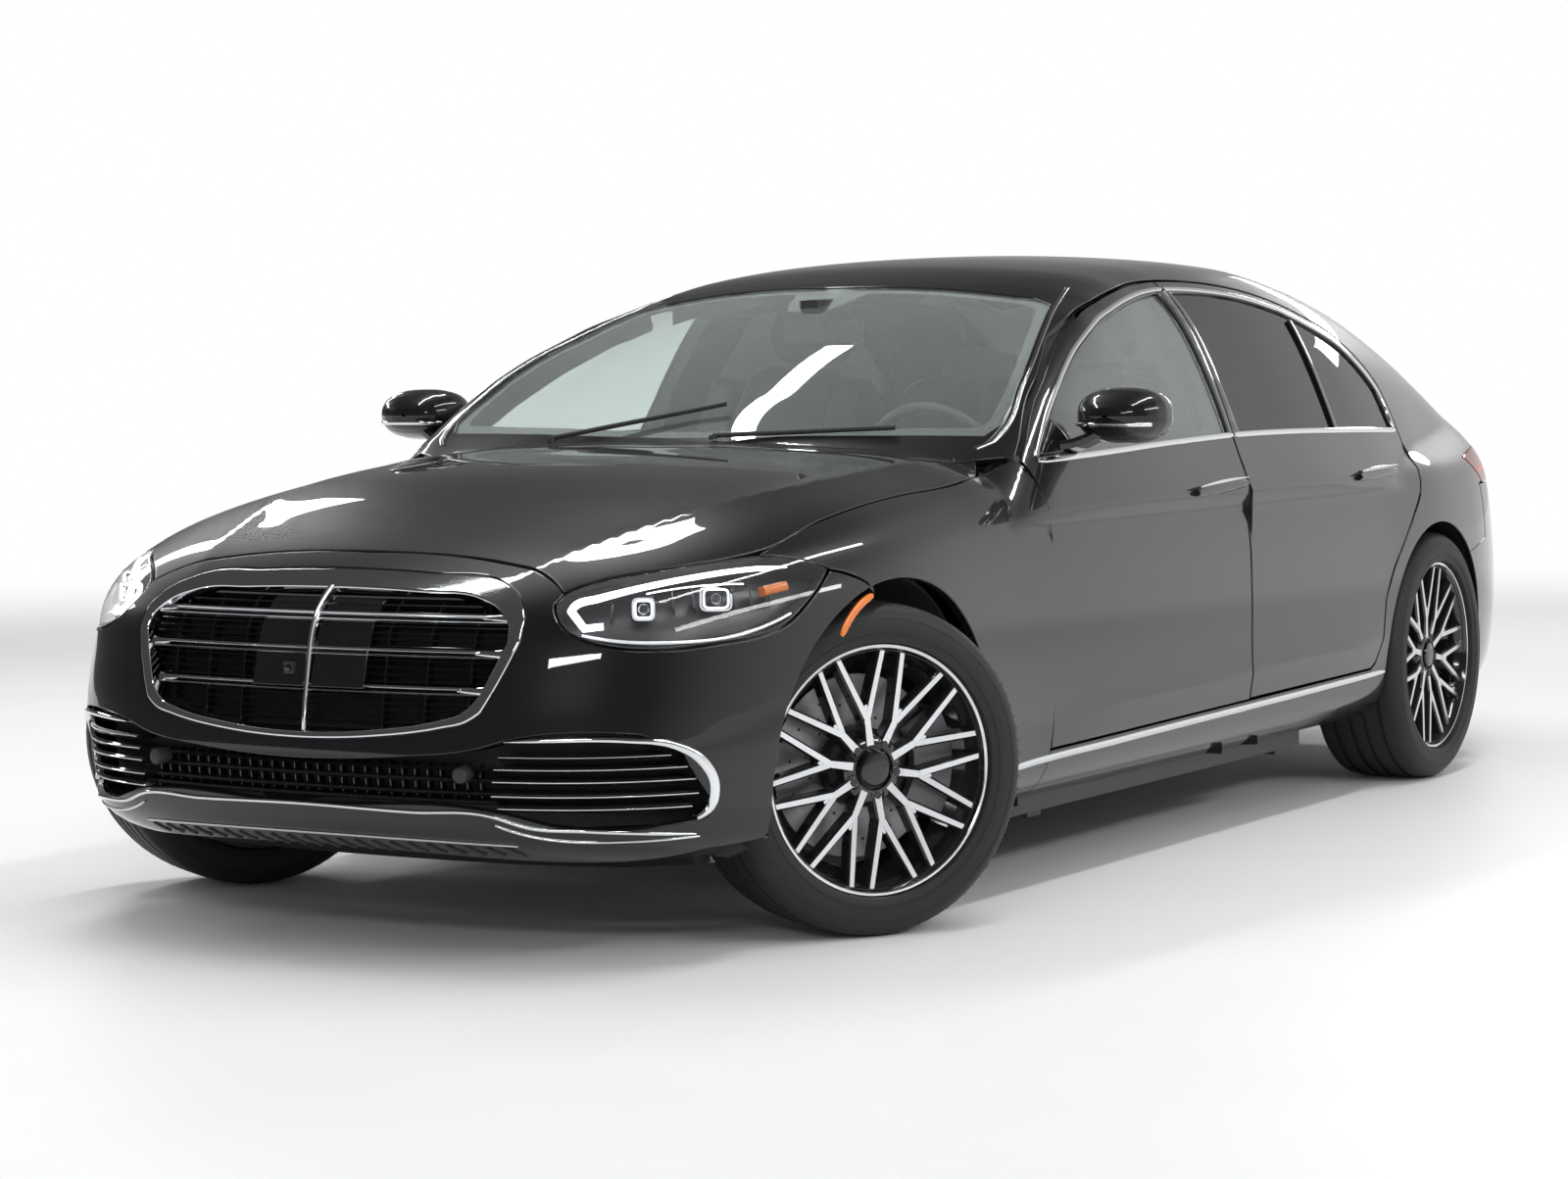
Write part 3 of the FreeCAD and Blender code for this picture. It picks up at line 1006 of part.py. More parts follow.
def disc(label, radius_name, side, placement):
    """Brake disc: friction ring and hat, hollow towards the car; y is outboard."""
    thick = dim("disc_thickness")
    back = front_disc_y - thick / 2
    facing = FreeCAD.Rotation(V(1, 0, 0), -90)

    def turned_part(tag, radius, y0, height, length):
        base = V(0, y0 if side > 0 else -(y0 + length), 0)
        return bound("Part::Cylinder", label + tag, {"Radius": radius, "Height": height}, base, facing)

    ring_ = turned_part("_ring", "Dimensions." + radius_name, back, "Dimensions.disc_thickness", thick)
    hat = turned_part("_hat", 88, back, HAT_BACK - back, HAT_BACK - back)
    hollow = turned_part("_hollow", 80, back, HAT_FACE - back, HAT_FACE - back)
    whole_disc = doc.addObject("Part::MultiFuse", label + "_solid")
    whole_disc.Shapes = [ring_, hat]
    piece = doc.addObject("Part::Cut", label)
    piece.Base = whole_disc
    piece.Tool = hollow
    piece.Label = label
    piece.Placement = placement
    parts.append(piece)


front_tyre, rear_tyre = tyre(dim("front_tyre_width")), tyre(dim("rear_tyre_width"))
front_rim, rear_rim = rim(dim("front_tyre_width")), rim(dim("rear_tyre_width"))
AXLES = [("front", XF, YF, -dim("steer_angle"), front_tyre, front_rim, "disc_radius_front"),
         ("rear", XR, YR, 0, rear_tyre, rear_rim, "disc_radius_rear")]
for axle, x, y, turn, tyre_shape, rim_shape, disc_radius in AXLES:
    for side_name, side in SIDES:
        where = "_%s_%s" % (axle, side_name)
        place("tyre" + where, sided(tyre_shape, side), axle_end(x, y, side, turn))
        place("rim" + where, sided(rim_shape, side), axle_end(x, y, side, turn))
        disc("brake_disc" + where, disc_radius, side, axle_end(x, y, side, turn))

doc.recompute()
os.makedirs("parts", exist_ok=True)
for piece in parts:
    if "Invalid" in piece.State or "Error" in piece.State:
        raise RuntimeError(piece.Label + " failed to build")
    if piece.Shape.isNull() or not piece.Shape.isValid():
        raise RuntimeError(piece.Label + " has no sound shape")
    piece.Shape.exportStep("parts/" + piece.Label + ".step")
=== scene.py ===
"""Looks of the four-door sedan: dense paint panels on the car's own skin, lamps, trim, wheels and cabin."""
import math

import bpy
import bmesh
import numpy as np
from mathutils import Matrix, Vector
from mathutils.bvhtree import BVHTree
from mathutils.geometry import delaunay_2d_cdt


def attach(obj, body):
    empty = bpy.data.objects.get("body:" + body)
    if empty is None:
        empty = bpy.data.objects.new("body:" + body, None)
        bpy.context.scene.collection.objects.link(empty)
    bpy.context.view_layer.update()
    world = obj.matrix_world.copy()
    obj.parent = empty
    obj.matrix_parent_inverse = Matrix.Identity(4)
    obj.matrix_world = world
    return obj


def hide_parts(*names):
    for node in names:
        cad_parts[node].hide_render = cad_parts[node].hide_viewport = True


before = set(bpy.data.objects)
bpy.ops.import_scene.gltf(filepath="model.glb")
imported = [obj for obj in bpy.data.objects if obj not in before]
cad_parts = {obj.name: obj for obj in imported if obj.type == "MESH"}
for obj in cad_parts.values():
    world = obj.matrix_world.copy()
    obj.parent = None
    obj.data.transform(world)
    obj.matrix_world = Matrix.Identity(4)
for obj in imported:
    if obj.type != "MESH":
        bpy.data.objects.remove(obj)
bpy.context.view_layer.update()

# Skin of the car, metres

MM = .001


def curve(points):
    """Smooth curve through (station, value) pairs in mm that never overshoots, read in metres."""
    pts = sorted(points)
    t = np.array([p[0] for p in pts], float)
    v = np.array([p[1] for p in pts], float)
    step, rise = np.diff(t), np.diff(v) / np.diff(t)
    slope = np.zeros(len(t))
    slope[0], slope[-1] = rise[0], rise[-1]
    for i in range(1, len(t) - 1):
        if rise[i - 1] * rise[i] > 0:
            a, b = 2 * step[i] + step[i - 1], step[i] + 2 * step[i - 1]
            slope[i] = (a + b) / (a / rise[i - 1] + b / rise[i])
    fine = np.linspace(t[0], t[-1], 2400)
    i = np.clip(np.searchsorted(t, fine, side="right") - 1, 0, len(t) - 2)
    h = step[i]
    u = (fine - t[i]) / h
    values = ((2 * u ** 3 - 3 * u ** 2 + 1) * v[i] + (u ** 3 - 2 * u ** 2 + u) * h * slope[i]
              + (3 * u ** 2 - 2 * u ** 3) * v[i + 1] + (u ** 3 - u ** 2) * h * slope[i + 1])
    return lambda s: np.interp(s, fine * MM, values)


half_width = curve([(-2700, .880), (-2200, .935), (-1750, .965), (-1430, .975), (-1000, .965), (-300, .962),
                    (600, .960), (1200, .958), (1780, .963), (2100, .955), (2400, .940), (2700, .900)])
side_inset = curve([(140, .075), (200, .045), (280, .024), (360, .014), (480, .004), (600, 0), (720, .003),
                    (820, .012), (900, .026), (960, .046), (1000, .066), (1100, .120), (1300, .240)])
nose_x = curve([(140, 2.535), (200, 2.585), (280, 2.622), (360, 2.640), (420, 2.6445), (500, 2.636),
                (600, 2.612), (700, 2.586), (780, 2.560), (860, 2.520), (950, 2.460), (1100, 2.350)])
tail_x = curve([(140, 2.500), (220, 2.570), (320, 2.618), (420, 2.640), (500, 2.6445), (600, 2.636),
                (700, 2.615), (800, 2.598), (900, 2.585), (1000, 2.575), (1100, 2.570), (1300, 2.550)])
deck_z = curve([(2700, .800), (2520, .822), (2360, .858), (2178, .893), (1952, .940), (1736, .975),
                (1412, 1.010), (1200, 1.028), (900, 1.030), (300, 1.030), (-500, 1.030), (-1200, 1.040),
                (-1600, 1.070), (-1900, 1.110), (-2100, 1.125), (-2300, 1.120), (-2500, 1.105),
                (-2700, 1.090)])
deck_crown = curve([(2600, .10), (2200, .08), (1700, .075), (1200, .06), (900, .03), (-800, .03),
                    (-1400, .06), (-2000, .15), (-2600, .15)])
roof_z = curve([(1500, .900), (1300, .985), (1200, 1.035), (1000, 1.145), (750, 1.265), (500, 1.365),
                (300, 1.427), (100, 1.467), (-200, 1.494), (-500, 1.503), (-800, 1.496), (-1100, 1.464),
                (-1400, 1.400), (-1700, 1.306), (-2000, 1.190), (-2200, 1.105), (-2400, 1.010),
                (-2600, .900)])
cabin_width = curve([(1600, .840), (1100, .885), (300, .905), (-500, .905), (-1000, .890), (-1350, .862),
                     (-1800, .800), (-2300, .720), (-2700, .620)])
roof_bow = curve([(1600, .30), (600, .26), (-300, 0), (-1200, -.12), (-2200, -.20), (-2700, -.20)])
pillar_lift = curve([(1250, 0), (1050, .018), (963, .032), (868, .044), (764, .058), (663, .062),
                     (556, .057), (446, .050), (310, .030), (174, .013), (-50, 0), (-2700, 0)])
join_softness = curve([(2700, .012), (1300, .012), (1000, .006), (-1200, .006), (-1500, .03), (-2000, .045),
                       (-2700, .045)])
CORE_HEIGHT, CORE_END, KEEL_HEIGHT = .5, 1.2, .165

# Creases: each a line along the car with its height or width, and how far it fades
shoulder_line = curve([(-2500, .930), (-1800, .950), (-1300, .957), (-400, .955), (400, .952), (1010, .945),
                       (1325, .926), (1694, .894), (2000, .862)])
shoulder_depth = curve([(-2500, 0), (-2000, .003), (-1200, .005), (1200, .005), (1700, .005), (2050, 0)])
sill_line = curve([(-1000, .430), (-400, .415), (400, .400), (1000, .385)])
sill_depth = curve([(-1100, 0), (-800, .007), (700, .007), (1150, 0)])
hood_line = curve([(1000, .757), (1323, .680), (1613, .652), (1856, .607), (2341, .452), (2500, .400)])
hood_depth = curve([(1000, 0), (1250, .005), (1900, .006), (2380, .003), (2500, 0)])


def ridge(t, reach, round_off=.004):
    """Bump with a crest: 1 at t = 0, with straight flanks fading over a reach."""
    return np.exp(-(np.sqrt(t * t + round_off ** 2) - round_off) / reach)


def skin_level(p):
    """1 on the skin, less inside, more outside; p is an array of points."""
    x, y, z = p[:, 0], np.abs(p[:, 1]), p[:, 2]
    w = np.minimum(y, 1)
    side = half_width(x) - side_inset(z) + shoulder_depth(x) * ridge(z - shoulder_line(x), .05)
    side = side + sill_depth(x) * ridge(z - sill_line(x), .05)
    deck = deck_z(x) - deck_crown(x) * y * y + hood_depth(x) * ridge(y - hood_line(x), .05)
    up = np.where(z > CORE_HEIGHT, (z - CORE_HEIGHT) / (deck - CORE_HEIGHT),
                  (CORE_HEIGHT - z) / (CORE_HEIGHT - KEEL_HEIGHT))
    fore = (x - CORE_END) / (nose_x(z) - .173 * w ** 2 - .433 * w ** 6 - CORE_END)
    aft = (-CORE_END - x) / (tail_x(z) - .200 * w ** 2 - .420 * w ** 6 - CORE_END)
    along = np.maximum(np.where(x > 0, fore, aft), 0)
    body = ((y / side) ** 7 + np.maximum(up, 0) ** 7 + along ** 7) ** (1 / 7)
    t = z - 1
    wall = np.maximum(cabin_width(x) - .42 * t - .17 * t * np.abs(t), .05)
    shoulder = half_width(x) - .008 - .018 * np.clip((.875 - z) / .055, 0, 1)
    wall = (wall + shoulder - np.sqrt((wall - shoulder) ** 2 + .006 ** 2)) / 2
    dome = np.clip((1.1 - np.abs(x + .4)) + .6, .3, 1)
    lift = pillar_lift(x)
    top = roof_z(x + roof_bow(x) * y * y) - .10 * y * y * dome + (
        lift * np.clip((y - .5) / .3, 0, 1.25) ** 1.7)
    e = 13 + 9 * np.clip(lift / .05, 0, 1)
    cabin = ((y / wall) ** e + (np.maximum(z - CORE_HEIGHT, 0) / (top - CORE_HEIGHT)) ** e) ** (1 / e)
    cabin = cabin + .06 * np.clip((.93 - z) / .10, 0, 1) * np.clip((-1.85 - x) / .15, 0, 1)
    cabin = np.where((z < .8) | (x > 1.5) | (x < -2.45), 9, cabin)
    k = join_softness(x)
    mix = np.clip(.5 + .5 * (cabin - body) / k, 0, 1)
    return cabin * (1 - mix) + body * mix - k * mix * (1 - mix)


def hit(start, direction, reach=2.2):
    """Points where lines from inside the car leave the skin."""
    low = np.zeros(len(start))
    high = np.full(len(start), reach)
    for _ in range(22):
        middle = (low + high) / 2
        inside = skin_level(start + direction * middle[:, None]) < 1
        low = np.where(inside, middle, low)
        high = np.where(inside, high, middle)
    return start + direction * ((low + high) / 2)[:, None]


def normals_at(p, e=.0012):
    """Outward unit normals of the skin."""
    n = np.zeros_like(p)
    for k in range(3):
        d = np.zeros(3)
        d[k] = e
        n[:, k] = skin_level(p + d) - skin_level(p - d)
    return n / np.linalg.norm(n, axis=1)[:, None]


# Flat charts of the skin

NOSE_CENTRE, TAIL_CENTRE, LID_FRONT, LID_LOW = 1.7, -1.7, -1.99, .70


def wrap_to(p):
    a = np.arctan2(p[:, 2] - .55, p[:, 1])
    return np.stack([p[:, 0], .9 * np.where(a < -math.pi / 2, a + 2 * math.pi, a)], 1)


def wrap_from(uv):
    a = uv[:, 1] / .9
    zero = np.zeros(len(uv))
    return hit(np.stack([uv[:, 0], zero, zero + .55], 1), np.stack([zero, np.cos(a), np.sin(a)], 1))


def top_to(p):
    return p[:, :2].copy()


def top_from(uv):
    zero = np.zeros(len(uv))
    return hit(np.stack([uv[:, 0], uv[:, 1], zero + .64], 1), np.stack([zero, zero, zero + 1], 1))


def nose_to(p):
    return np.stack([.95 * np.arctan2(p[:, 1], p[:, 0] - NOSE_CENTRE), p[:, 2]], 1)


def nose_from(uv):
    a = uv[:, 0] / .95
    zero = np.zeros(len(uv))
    return hit(np.stack([zero + NOSE_CENTRE, zero, uv[:, 1]], 1), np.stack([np.cos(a), np.sin(a), zero], 1))


def tail_to(p):
    return np.stack([.95 * np.arctan2(p[:, 1], TAIL_CENTRE - p[:, 0]), p[:, 2]], 1)


def tail_from(uv):
    a = uv[:, 0] / .95
    zero = np.zeros(len(uv))
    return hit(np.stack([zero + TAIL_CENTRE, zero, uv[:, 1]], 1), np.stack([-np.cos(a), np.sin(a), zero], 1))


def lid_to(p):
    return np.stack([p[:, 1], .5 * np.arctan2(p[:, 2] - LID_LOW, LID_FRONT - p[:, 0])], 1)


def lid_from(uv):
    a = uv[:, 1] / .5
    zero = np.zeros(len(uv))
    return hit(np.stack([zero + LID_FRONT, uv[:, 0], zero + LID_LOW], 1),
               np.stack([-np.cos(a), zero, np.sin(a)], 1))


CORNER = np.array([-1.95, .25, .72])


def corner_to(p):
    d = p - CORNER
    flat = np.hypot(d[:, 0], d[:, 1])
    return np.stack([.65 * np.arctan2(d[:, 1], -d[:, 0]), .65 * np.arctan2(d[:, 2], flat)], 1)


def corner_from(uv):
    a, e = uv[:, 0] / .65, uv[:, 1] / .65
    way = np.stack([-np.cos(a) * np.cos(e), np.sin(a) * np.cos(e), np.sin(e)], 1)
    return hit(np.repeat(CORNER[None, :], len(uv), 0), way)


CHARTS = {"corner": (corner_to, corner_from), "wrap": (wrap_to, wrap_from), "top": (top_to, top_from),
          "nose": (nose_to, nose_from), "tail": (tail_to, tail_from), "lid": (lid_to, lid_from)}


# Outlines

def eased(points, closed=True, step=.010, corner=26):
    """Line through points, smooth except where it turns by more than a corner angle, resampled evenly."""
    p = np.array(points, float)
    n = len(p)
    sharp = []
    for i in range(n):
        if not closed and i in (0, n - 1):
            sharp.append(True)
            continue
        a, b = p[i] - p[i - 1], p[(i + 1) % n] - p[i]
        c = a @ b / (np.linalg.norm(a) * np.linalg.norm(b) + 1e-12)
        sharp.append(math.degrees(math.acos(max(-1, min(1, c)))) > corner)
    tangent = np.zeros_like(p)
    for i in range(n):
        a, b = p[i] - p[i - 1], p[(i + 1) % n] - p[i]
        la, lb = np.linalg.norm(a) + 1e-12, np.linalg.norm(b) + 1e-12
        tangent[i] = (a / la * lb + b / lb * la) / (la + lb)
    out = []
    for i in range(n if closed else n - 1):
        j = (i + 1) % n
        length = np.linalg.norm(p[j] - p[i])
        count = max(1, round(length / step))
        chord = (p[j] - p[i]) / (length + 1e-12)
        ta = chord if sharp[i] and sharp[j] else (2 * chord - tangent[j] if sharp[i] else tangent[i])
        tb = chord if sharp[i] and sharp[j] else (2 * chord - tangent[i] if sharp[j] else tangent[j])
        for k in range(count):
            u = k / count
            out.append((2 * u ** 3 - 3 * u ** 2 + 1) * p[i] + (u ** 3 - 2 * u ** 2 + u) * ta * length
                       + (3 * u ** 2 - 2 * u ** 3) * p[j] + (u ** 3 - u ** 2) * tb * length)
    if not closed:
        out.append(p[-1])
    return np.array(out)


def on_side(points, **kw):
    """Skin points of an (x, z) outline seen from the left."""
    q = eased(points, **kw)
    zero = np.zeros(len(q))
    return hit(np.stack([q[:, 0], zero, q[:, 1]], 1), np.stack([zero, zero + 1, zero], 1))


def on_top(points, **kw):
    """Skin points of an (x, y) outline seen from above."""
    return top_from(eased(points, **kw))


def on_front(points, **kw):
    """Skin points of a (y, z) outline seen from the front."""
    q = eased(points, **kw)
    zero = np.zeros(len(q))
    return hit(np.stack([zero + 1.7, q[:, 0], q[:, 1]], 1), np.stack([zero + 1, zero, zero], 1))


def on_rear(points, **kw):
    """Skin points of a (y, z) outline seen from behind."""
    q = eased(points, **kw)
    zero = np.zeros(len(q))
    return hit(np.stack([zero - 1.7, q[:, 0], q[:, 1]], 1), np.stack([zero - 1, zero, zero], 1))


def on_tail(points, **kw):
    """Skin points of a line in the tail's chart: (way round the tail, height)."""
    return tail_from(eased(points, **kw))


def near_skin(points, **kw):
    """Smooth line through measured (x, y, z) points, each brought onto the skin."""
    q = eased(points, **kw)
    for _ in range(3):
        n = normals_at(q)
        a, b = skin_level(q + n * .004), skin_level(q - n * .004)
        q = q - n * ((skin_level(q) - 1) * .008 / (a - b))[:, None]
    return q


def mirror_points(p):
    return p * np.array([1, -1, 1])


def whole(points):
    """Half outline, first and last point on the middle line, closed by its mirror image."""
    return points + [(a, -b) for a, b in points[-2:0:-1]]


def whole_front(points):
    return points + [(-a, b) for a, b in points[-2:0:-1]]


# Panels

def inside(points, polygon):
    """Which flat points lie in a polygon."""
    x, y = points[:, 0], points[:, 1]
    result = np.zeros(len(points), bool)
    a = polygon
    b = np.roll(polygon, -1, 0)
    for (x0, y0), (x1, y1) in zip(a, b):
        if y0 == y1:
            continue
        cross = (y0 > y) != (y1 > y)
        result ^= cross & (x < (x1 - x0) * (y - y0) / (y1 - y0) + x0)
    return result


def shrunk(polygon, amount):
    """Closed flat outline moved inwards by an amount (outwards if negative)."""
    before, after = np.roll(polygon, 1, 0), np.roll(polygon, -1, 0)
    area = np.sum(polygon[:, 0] * after[:, 1] - after[:, 0] * polygon[:, 1])
    turn = 1 if area > 0 else -1
    n1 = np.stack([-(polygon - before)[:, 1], (polygon - before)[:, 0]], 1) * turn
    n2 = np.stack([-(after - polygon)[:, 1], (after - polygon)[:, 0]], 1) * turn
    n1 /= np.linalg.norm(n1, axis=1)[:, None] + 1e-12
    n2 /= np.linalg.norm(n2, axis=1)[:, None] + 1e-12
    share = amount / np.maximum(1 + np.sum(n1 * n2, 1), .5)
    return polygon + (n1 + n2) * share[:, None]


class Mesh:
    """Vertices, faces, normals and material numbers gathered from several surfaces."""

    def __init__(self):
        self.verts, self.faces, self.normals, self.slots = [], [], [], []

    def add(self, verts, faces, normals=None, slot=0):
        base = len(self.verts)
        self.verts += [tuple(v) for v in verts]
        self.normals += [tuple(n) for n in (normals if normals is not None else np.zeros((len(verts), 3)))]
        self.faces += [tuple(base + i for i in f) for f in faces]
        self.slots += [slot] * len(faces)
        return base

    def add_mirrored(self, other):
        m = np.array([1, -1, 1])
        base = len(self.verts)
        self.verts += [tuple(np.array(v) * m) for v in other.verts]
        self.normals += [tuple(np.array(n) * m) for n in other.normals]
        self.faces += [tuple(base + i for i in f[::-1]) for f in other.faces]
        self.slots += other.slots

    def join(self, other):
        base = len(self.verts)
        self.verts += other.verts
        self.normals += other.normals
        self.faces += [tuple(base + i for i in f) for f in other.faces]
        self.slots += other.slots

    def copy(self):
        twin = Mesh()
        twin.join(self)
        return twin


def patch(mesh, chart, outline, holes=(), spacing=.018, roll=.003, depth=.014, offset=0.0, slot=0, back=0.0,
          edge_slot=None):
    """Skin patch inside an outline, with its edges rolled in; offset is how far under the skin it lies,
    back a thickness to close it behind. Outlines are skin points."""
    to_uv, from_uv = CHARTS[chart]
    loops = [to_uv(outline)] + [to_uv(h) for h in holes]
    signs = [1] + [-1] * len(holes)
    rims = [shrunk(loop, roll * sign) for loop, sign in zip(loops, signs)]
    low, high = loops[0].min(0), loops[0].max(0)
    nx, ny = int((high[0] - low[0]) / spacing) + 2, int((high[1] - low[1]) / (spacing * .87)) + 2
    grid = np.array([(low[0] + (i + .5 * (j % 2)) * spacing, low[1] + j * spacing * .87)
                     for j in range(ny) for i in range(nx)])
    keep = inside(grid, shrunk(rims[0], spacing * .45))
    for rim in rims[1:]:
        keep &= ~inside(grid, shrunk(rim, -spacing * .45))
    grid = grid[keep]
    flat = [tuple(v) for rim in rims for v in rim] + [tuple(v) for v in grid]
    edges, base = [], 0
    for rim in rims:
        edges += [(base + i, base + (i + 1) % len(rim)) for i in range(len(rim))]
        base += len(rim)
    made = delaunay_2d_cdt([Vector(v) for v in flat], edges, [], 0, 1e-7, True)
    coords = np.array([tuple(v) for v in made[0]])
    tris = np.array([tuple(f) for f in made[2]])
    middle = coords[tris].mean(1)
    keep = inside(middle, rims[0])
    for rim in rims[1:]:
        keep &= ~inside(middle, rim)
    tris = tris[keep]
    origin = {}
    for new, olds in enumerate(made[3]):
        for old in olds:
            origin[old] = new
    p = from_uv(coords)
    n = normals_at(p)
    a, b, c = p[tris[:, 0]], p[tris[:, 1]], p[tris[:, 2]]
    flip = np.sum(np.cross(b - a, c - a) * n[tris[:, 0]], 1) < 0
    tris[flip] = tris[flip][:, ::-1]
    first = mesh.add(p - n * offset, tris, n, slot)
    turns = (math.radians(30), math.radians(60), math.pi / 2)
    rings = [(roll * (1 - math.sin(a)), roll * (1 - math.cos(a)), a) for a in turns]
    rings.append((0, depth, math.pi / 2))
    total = 0
    for loop, sign, rim in zip(loops, signs, rims):
        count = len(loop)
        previous = [first + origin[total + i] for i in range(count)]
        total += count
        edge = from_uv(loop)
        edge_n = normals_at(edge)
        along = np.roll(edge, -1, 0) - np.roll(edge, 1, 0)
        out = np.cross(along, edge_n)
        out /= np.linalg.norm(out, axis=1)[:, None] + 1e-12
        inner = from_uv(shrunk(loop, .01 * sign))
        out = np.where((np.sum(out * (edge - inner), 1) < 0)[:, None], -out, out)
        for inset, sink, angle in rings:
            at = from_uv(shrunk(loop, inset * sign)) if inset > 1e-5 else edge
            ring_n = edge_n * math.cos(angle) + out * math.sin(angle)
            start = mesh.add(at - edge_n * (sink + offset), [], ring_n)
            current = [start + i for i in range(count)]
            for i in range(count):
                j = (i + 1) % count
                quad = (previous[i], previous[j], current[j], current[i])
                q = [np.array(mesh.verts[k]) for k in quad]
                normal = np.cross(q[2] - q[0], q[3] - q[1])
                if normal @ (ring_n[i]) < 0:
                    quad = quad[::-1]
                mesh.faces.append(quad)
                mesh.slots.append(slot if edge_slot is None else edge_slot)
            previous = current
    if back:
        mesh.add(p - n * (offset + back), tris[:, ::-1], -n, slot)
    return mesh


def build(name, mesh, materials, body, replaces=(), custom=True, smooth=True):
    """Object from gathered surfaces, riding on a body."""
    data = bpy.data.meshes.new(name)
    data.from_pydata([tuple(map(float, v)) for v in mesh.verts], [], mesh.faces)
    for material in materials:
        data.materials.append(material)
    data.polygons.foreach_set("material_index", mesh.slots)
    data.polygons.foreach_set("use_smooth", [smooth] * len(data.polygons))
    data.update()
    if custom:
        data.normals_split_custom_set_from_vertices([tuple(map(float, n)) for n in mesh.normals])
    obj = bpy.data.objects.new(name, data)
    bpy.context.scene.collection.objects.link(obj)
    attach(obj, body)
    if replaces:
        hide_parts(*replaces)
    return obj


def under_skin(name, mesh, slot=0, lining=None, room=()):
    """The node's own faces without its outer skin; lining is a slot for faces that look inwards.

    Faces round a hinge axis of room stand back from it, so that a panel's rolled edge swings clear of
    them, and those outboard of it are left out.
    """
    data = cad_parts[name].data
    p = np.array([v.co for v in data.vertices])
    data.calc_loop_triangles()
    tris = np.array([t.vertices for t in data.loop_triangles])
    a, b, c = p[tris[:, 0]], p[tris[:, 1]], p[tris[:, 2]]
    face_n = np.cross(b - a, c - a)
    face_n /= np.linalg.norm(face_n, axis=1)[:, None] + 1e-15
    centre = (a + b + c) / 3
    n = normals_at(centre)
    slope = (skin_level(centre + n * .004) - skin_level(centre - n * .004)) / .008
    height = (skin_level(centre) - 1) / slope
    gap = np.abs(height)
    outward = np.sum(face_n * n, 1)
    pillar = (centre[:, 0] > .05) & (centre[:, 0] < 1.15) & (centre[:, 2] > 1.0)
    near = (outward > .45) & (gap < np.where(pillar, .08, .022))
    solid = BVHTree.FromPolygons([tuple(v) for v in p], [tuple(t) for t in tris])
    drop = np.array([near[i] and solid.ray_cast(Vector(centre[i] + n[i] * .0015), Vector(n[i]),
                                                .12)[0] is None
                     for i in range(len(tris))])
    n = normals_at(p)
    slope = (skin_level(p + n * .004) - skin_level(p - n * .004)) / .008
    highest = ((skin_level(p) - 1) / slope)[tris].max(1)
    drop |= (height > .0025) | ((highest > -.002) & (np.abs(outward) > .2))
    beside_screen = (centre[:, 0] > .16) & (centre[:, 0] < 1.06) & (np.abs(centre[:, 1]) > .45)
    drop |= beside_screen & (centre[:, 2] > 1.0)
    for x, y in room:
        outboard = np.sign(y) * (centre[:, 1] - y)
        drop |= (np.hypot(centre[:, 0] - x, outboard) < SWEEP + .006) & (outboard > .012)
    tris, face_n, outward = tris[~drop], face_n[~drop], outward[~drop]
    verts = p[tris].reshape(-1, 3)
    for axis in room:
        away = verts[:, :2] - np.array(axis)
        reach = np.linalg.norm(away, axis=1)
        close = (reach > SWEEP * .8) & (reach < SWEEP + EDGE_ROOM) & (np.sign(axis[1]) * away[:, 1] < .020)
        verts[close, :2] += away[close] * ((SWEEP + EDGE_ROOM) / reach[close] - 1)[:, None]
    faces = np.arange(len(verts)).reshape(-1, 3)
    mesh.add(verts, faces, np.repeat(face_n, 3, 0), slot)
    if lining is not None:
        for i, o in enumerate(outward):
            if o < -.5:
                mesh.slots[len(mesh.slots) - len(faces) + i] = lining


# Mouldings, turned parts and tubes

def sweep(mesh, line, out, section, closed=False, slot=0, scale=None):
    """Section of (across, outward) points carried along a line that has an outward direction."""
    line, out = np.asarray(line, float), np.asarray(out, float)
    if len(out) != len(line):
        out = np.repeat(out[None, :], len(line), 0) if out.ndim == 1 else out
    tangent = np.roll(line, -1, 0) - np.roll(line, 1, 0) if closed else np.gradient(line, axis=0)
    tangent /= np.linalg.norm(tangent, axis=1)[:, None] + 1e-12
    across = np.cross(out, tangent)
    across /= np.linalg.norm(across, axis=1)[:, None] + 1e-12
    out = np.cross(tangent, across)
    section = np.array(section, float)
    scale = np.ones(len(line)) if scale is None else np.asarray(scale, float)
    rings = (line[:, None] + across[:, None] * (section[None, :, :1] * scale[:, None, None])
             + out[:, None] * section[None, :, 1:])
    n, m = len(line), len(section)
    faces = [(i * m + k, i * m + (k + 1) % m, (i + 1) % n * m + (k + 1) % m, (i + 1) % n * m + k)
             for i in range(n if closed else n - 1) for k in range(m)]
    if not closed:
        faces += [tuple(range(m)), tuple(range((n - 1) * m, n * m))[::-1]]
    mesh.add(rings.reshape(-1, 3), faces, slot=slot)


def rounded(width, height, sink=.002):
    """Section of a moulding with a domed face, sunk a little into what carries it."""
    w = width / 2
    return [(-w, -sink), (-w, height * .45), (-w * .82, height * .8), (-w * .45, height * .97), (0, height),
            (w * .45, height * .97), (w * .82, height * .8), (w, height * .45), (w, -sink)]


def strip(mesh, line, width, height, closed=False, sink=.002, slot=0, taper=0):
    """Moulding laid along skin points; taper is how many steps each end narrows over."""
    scale = np.ones(len(line))
    for i in range(taper):
        scale[i] = scale[-1 - i] = .25 + .75 * math.sqrt((i + .5) / taper)
    sweep(mesh, line, normals_at(line), rounded(width, height, sink), closed, slot, scale)


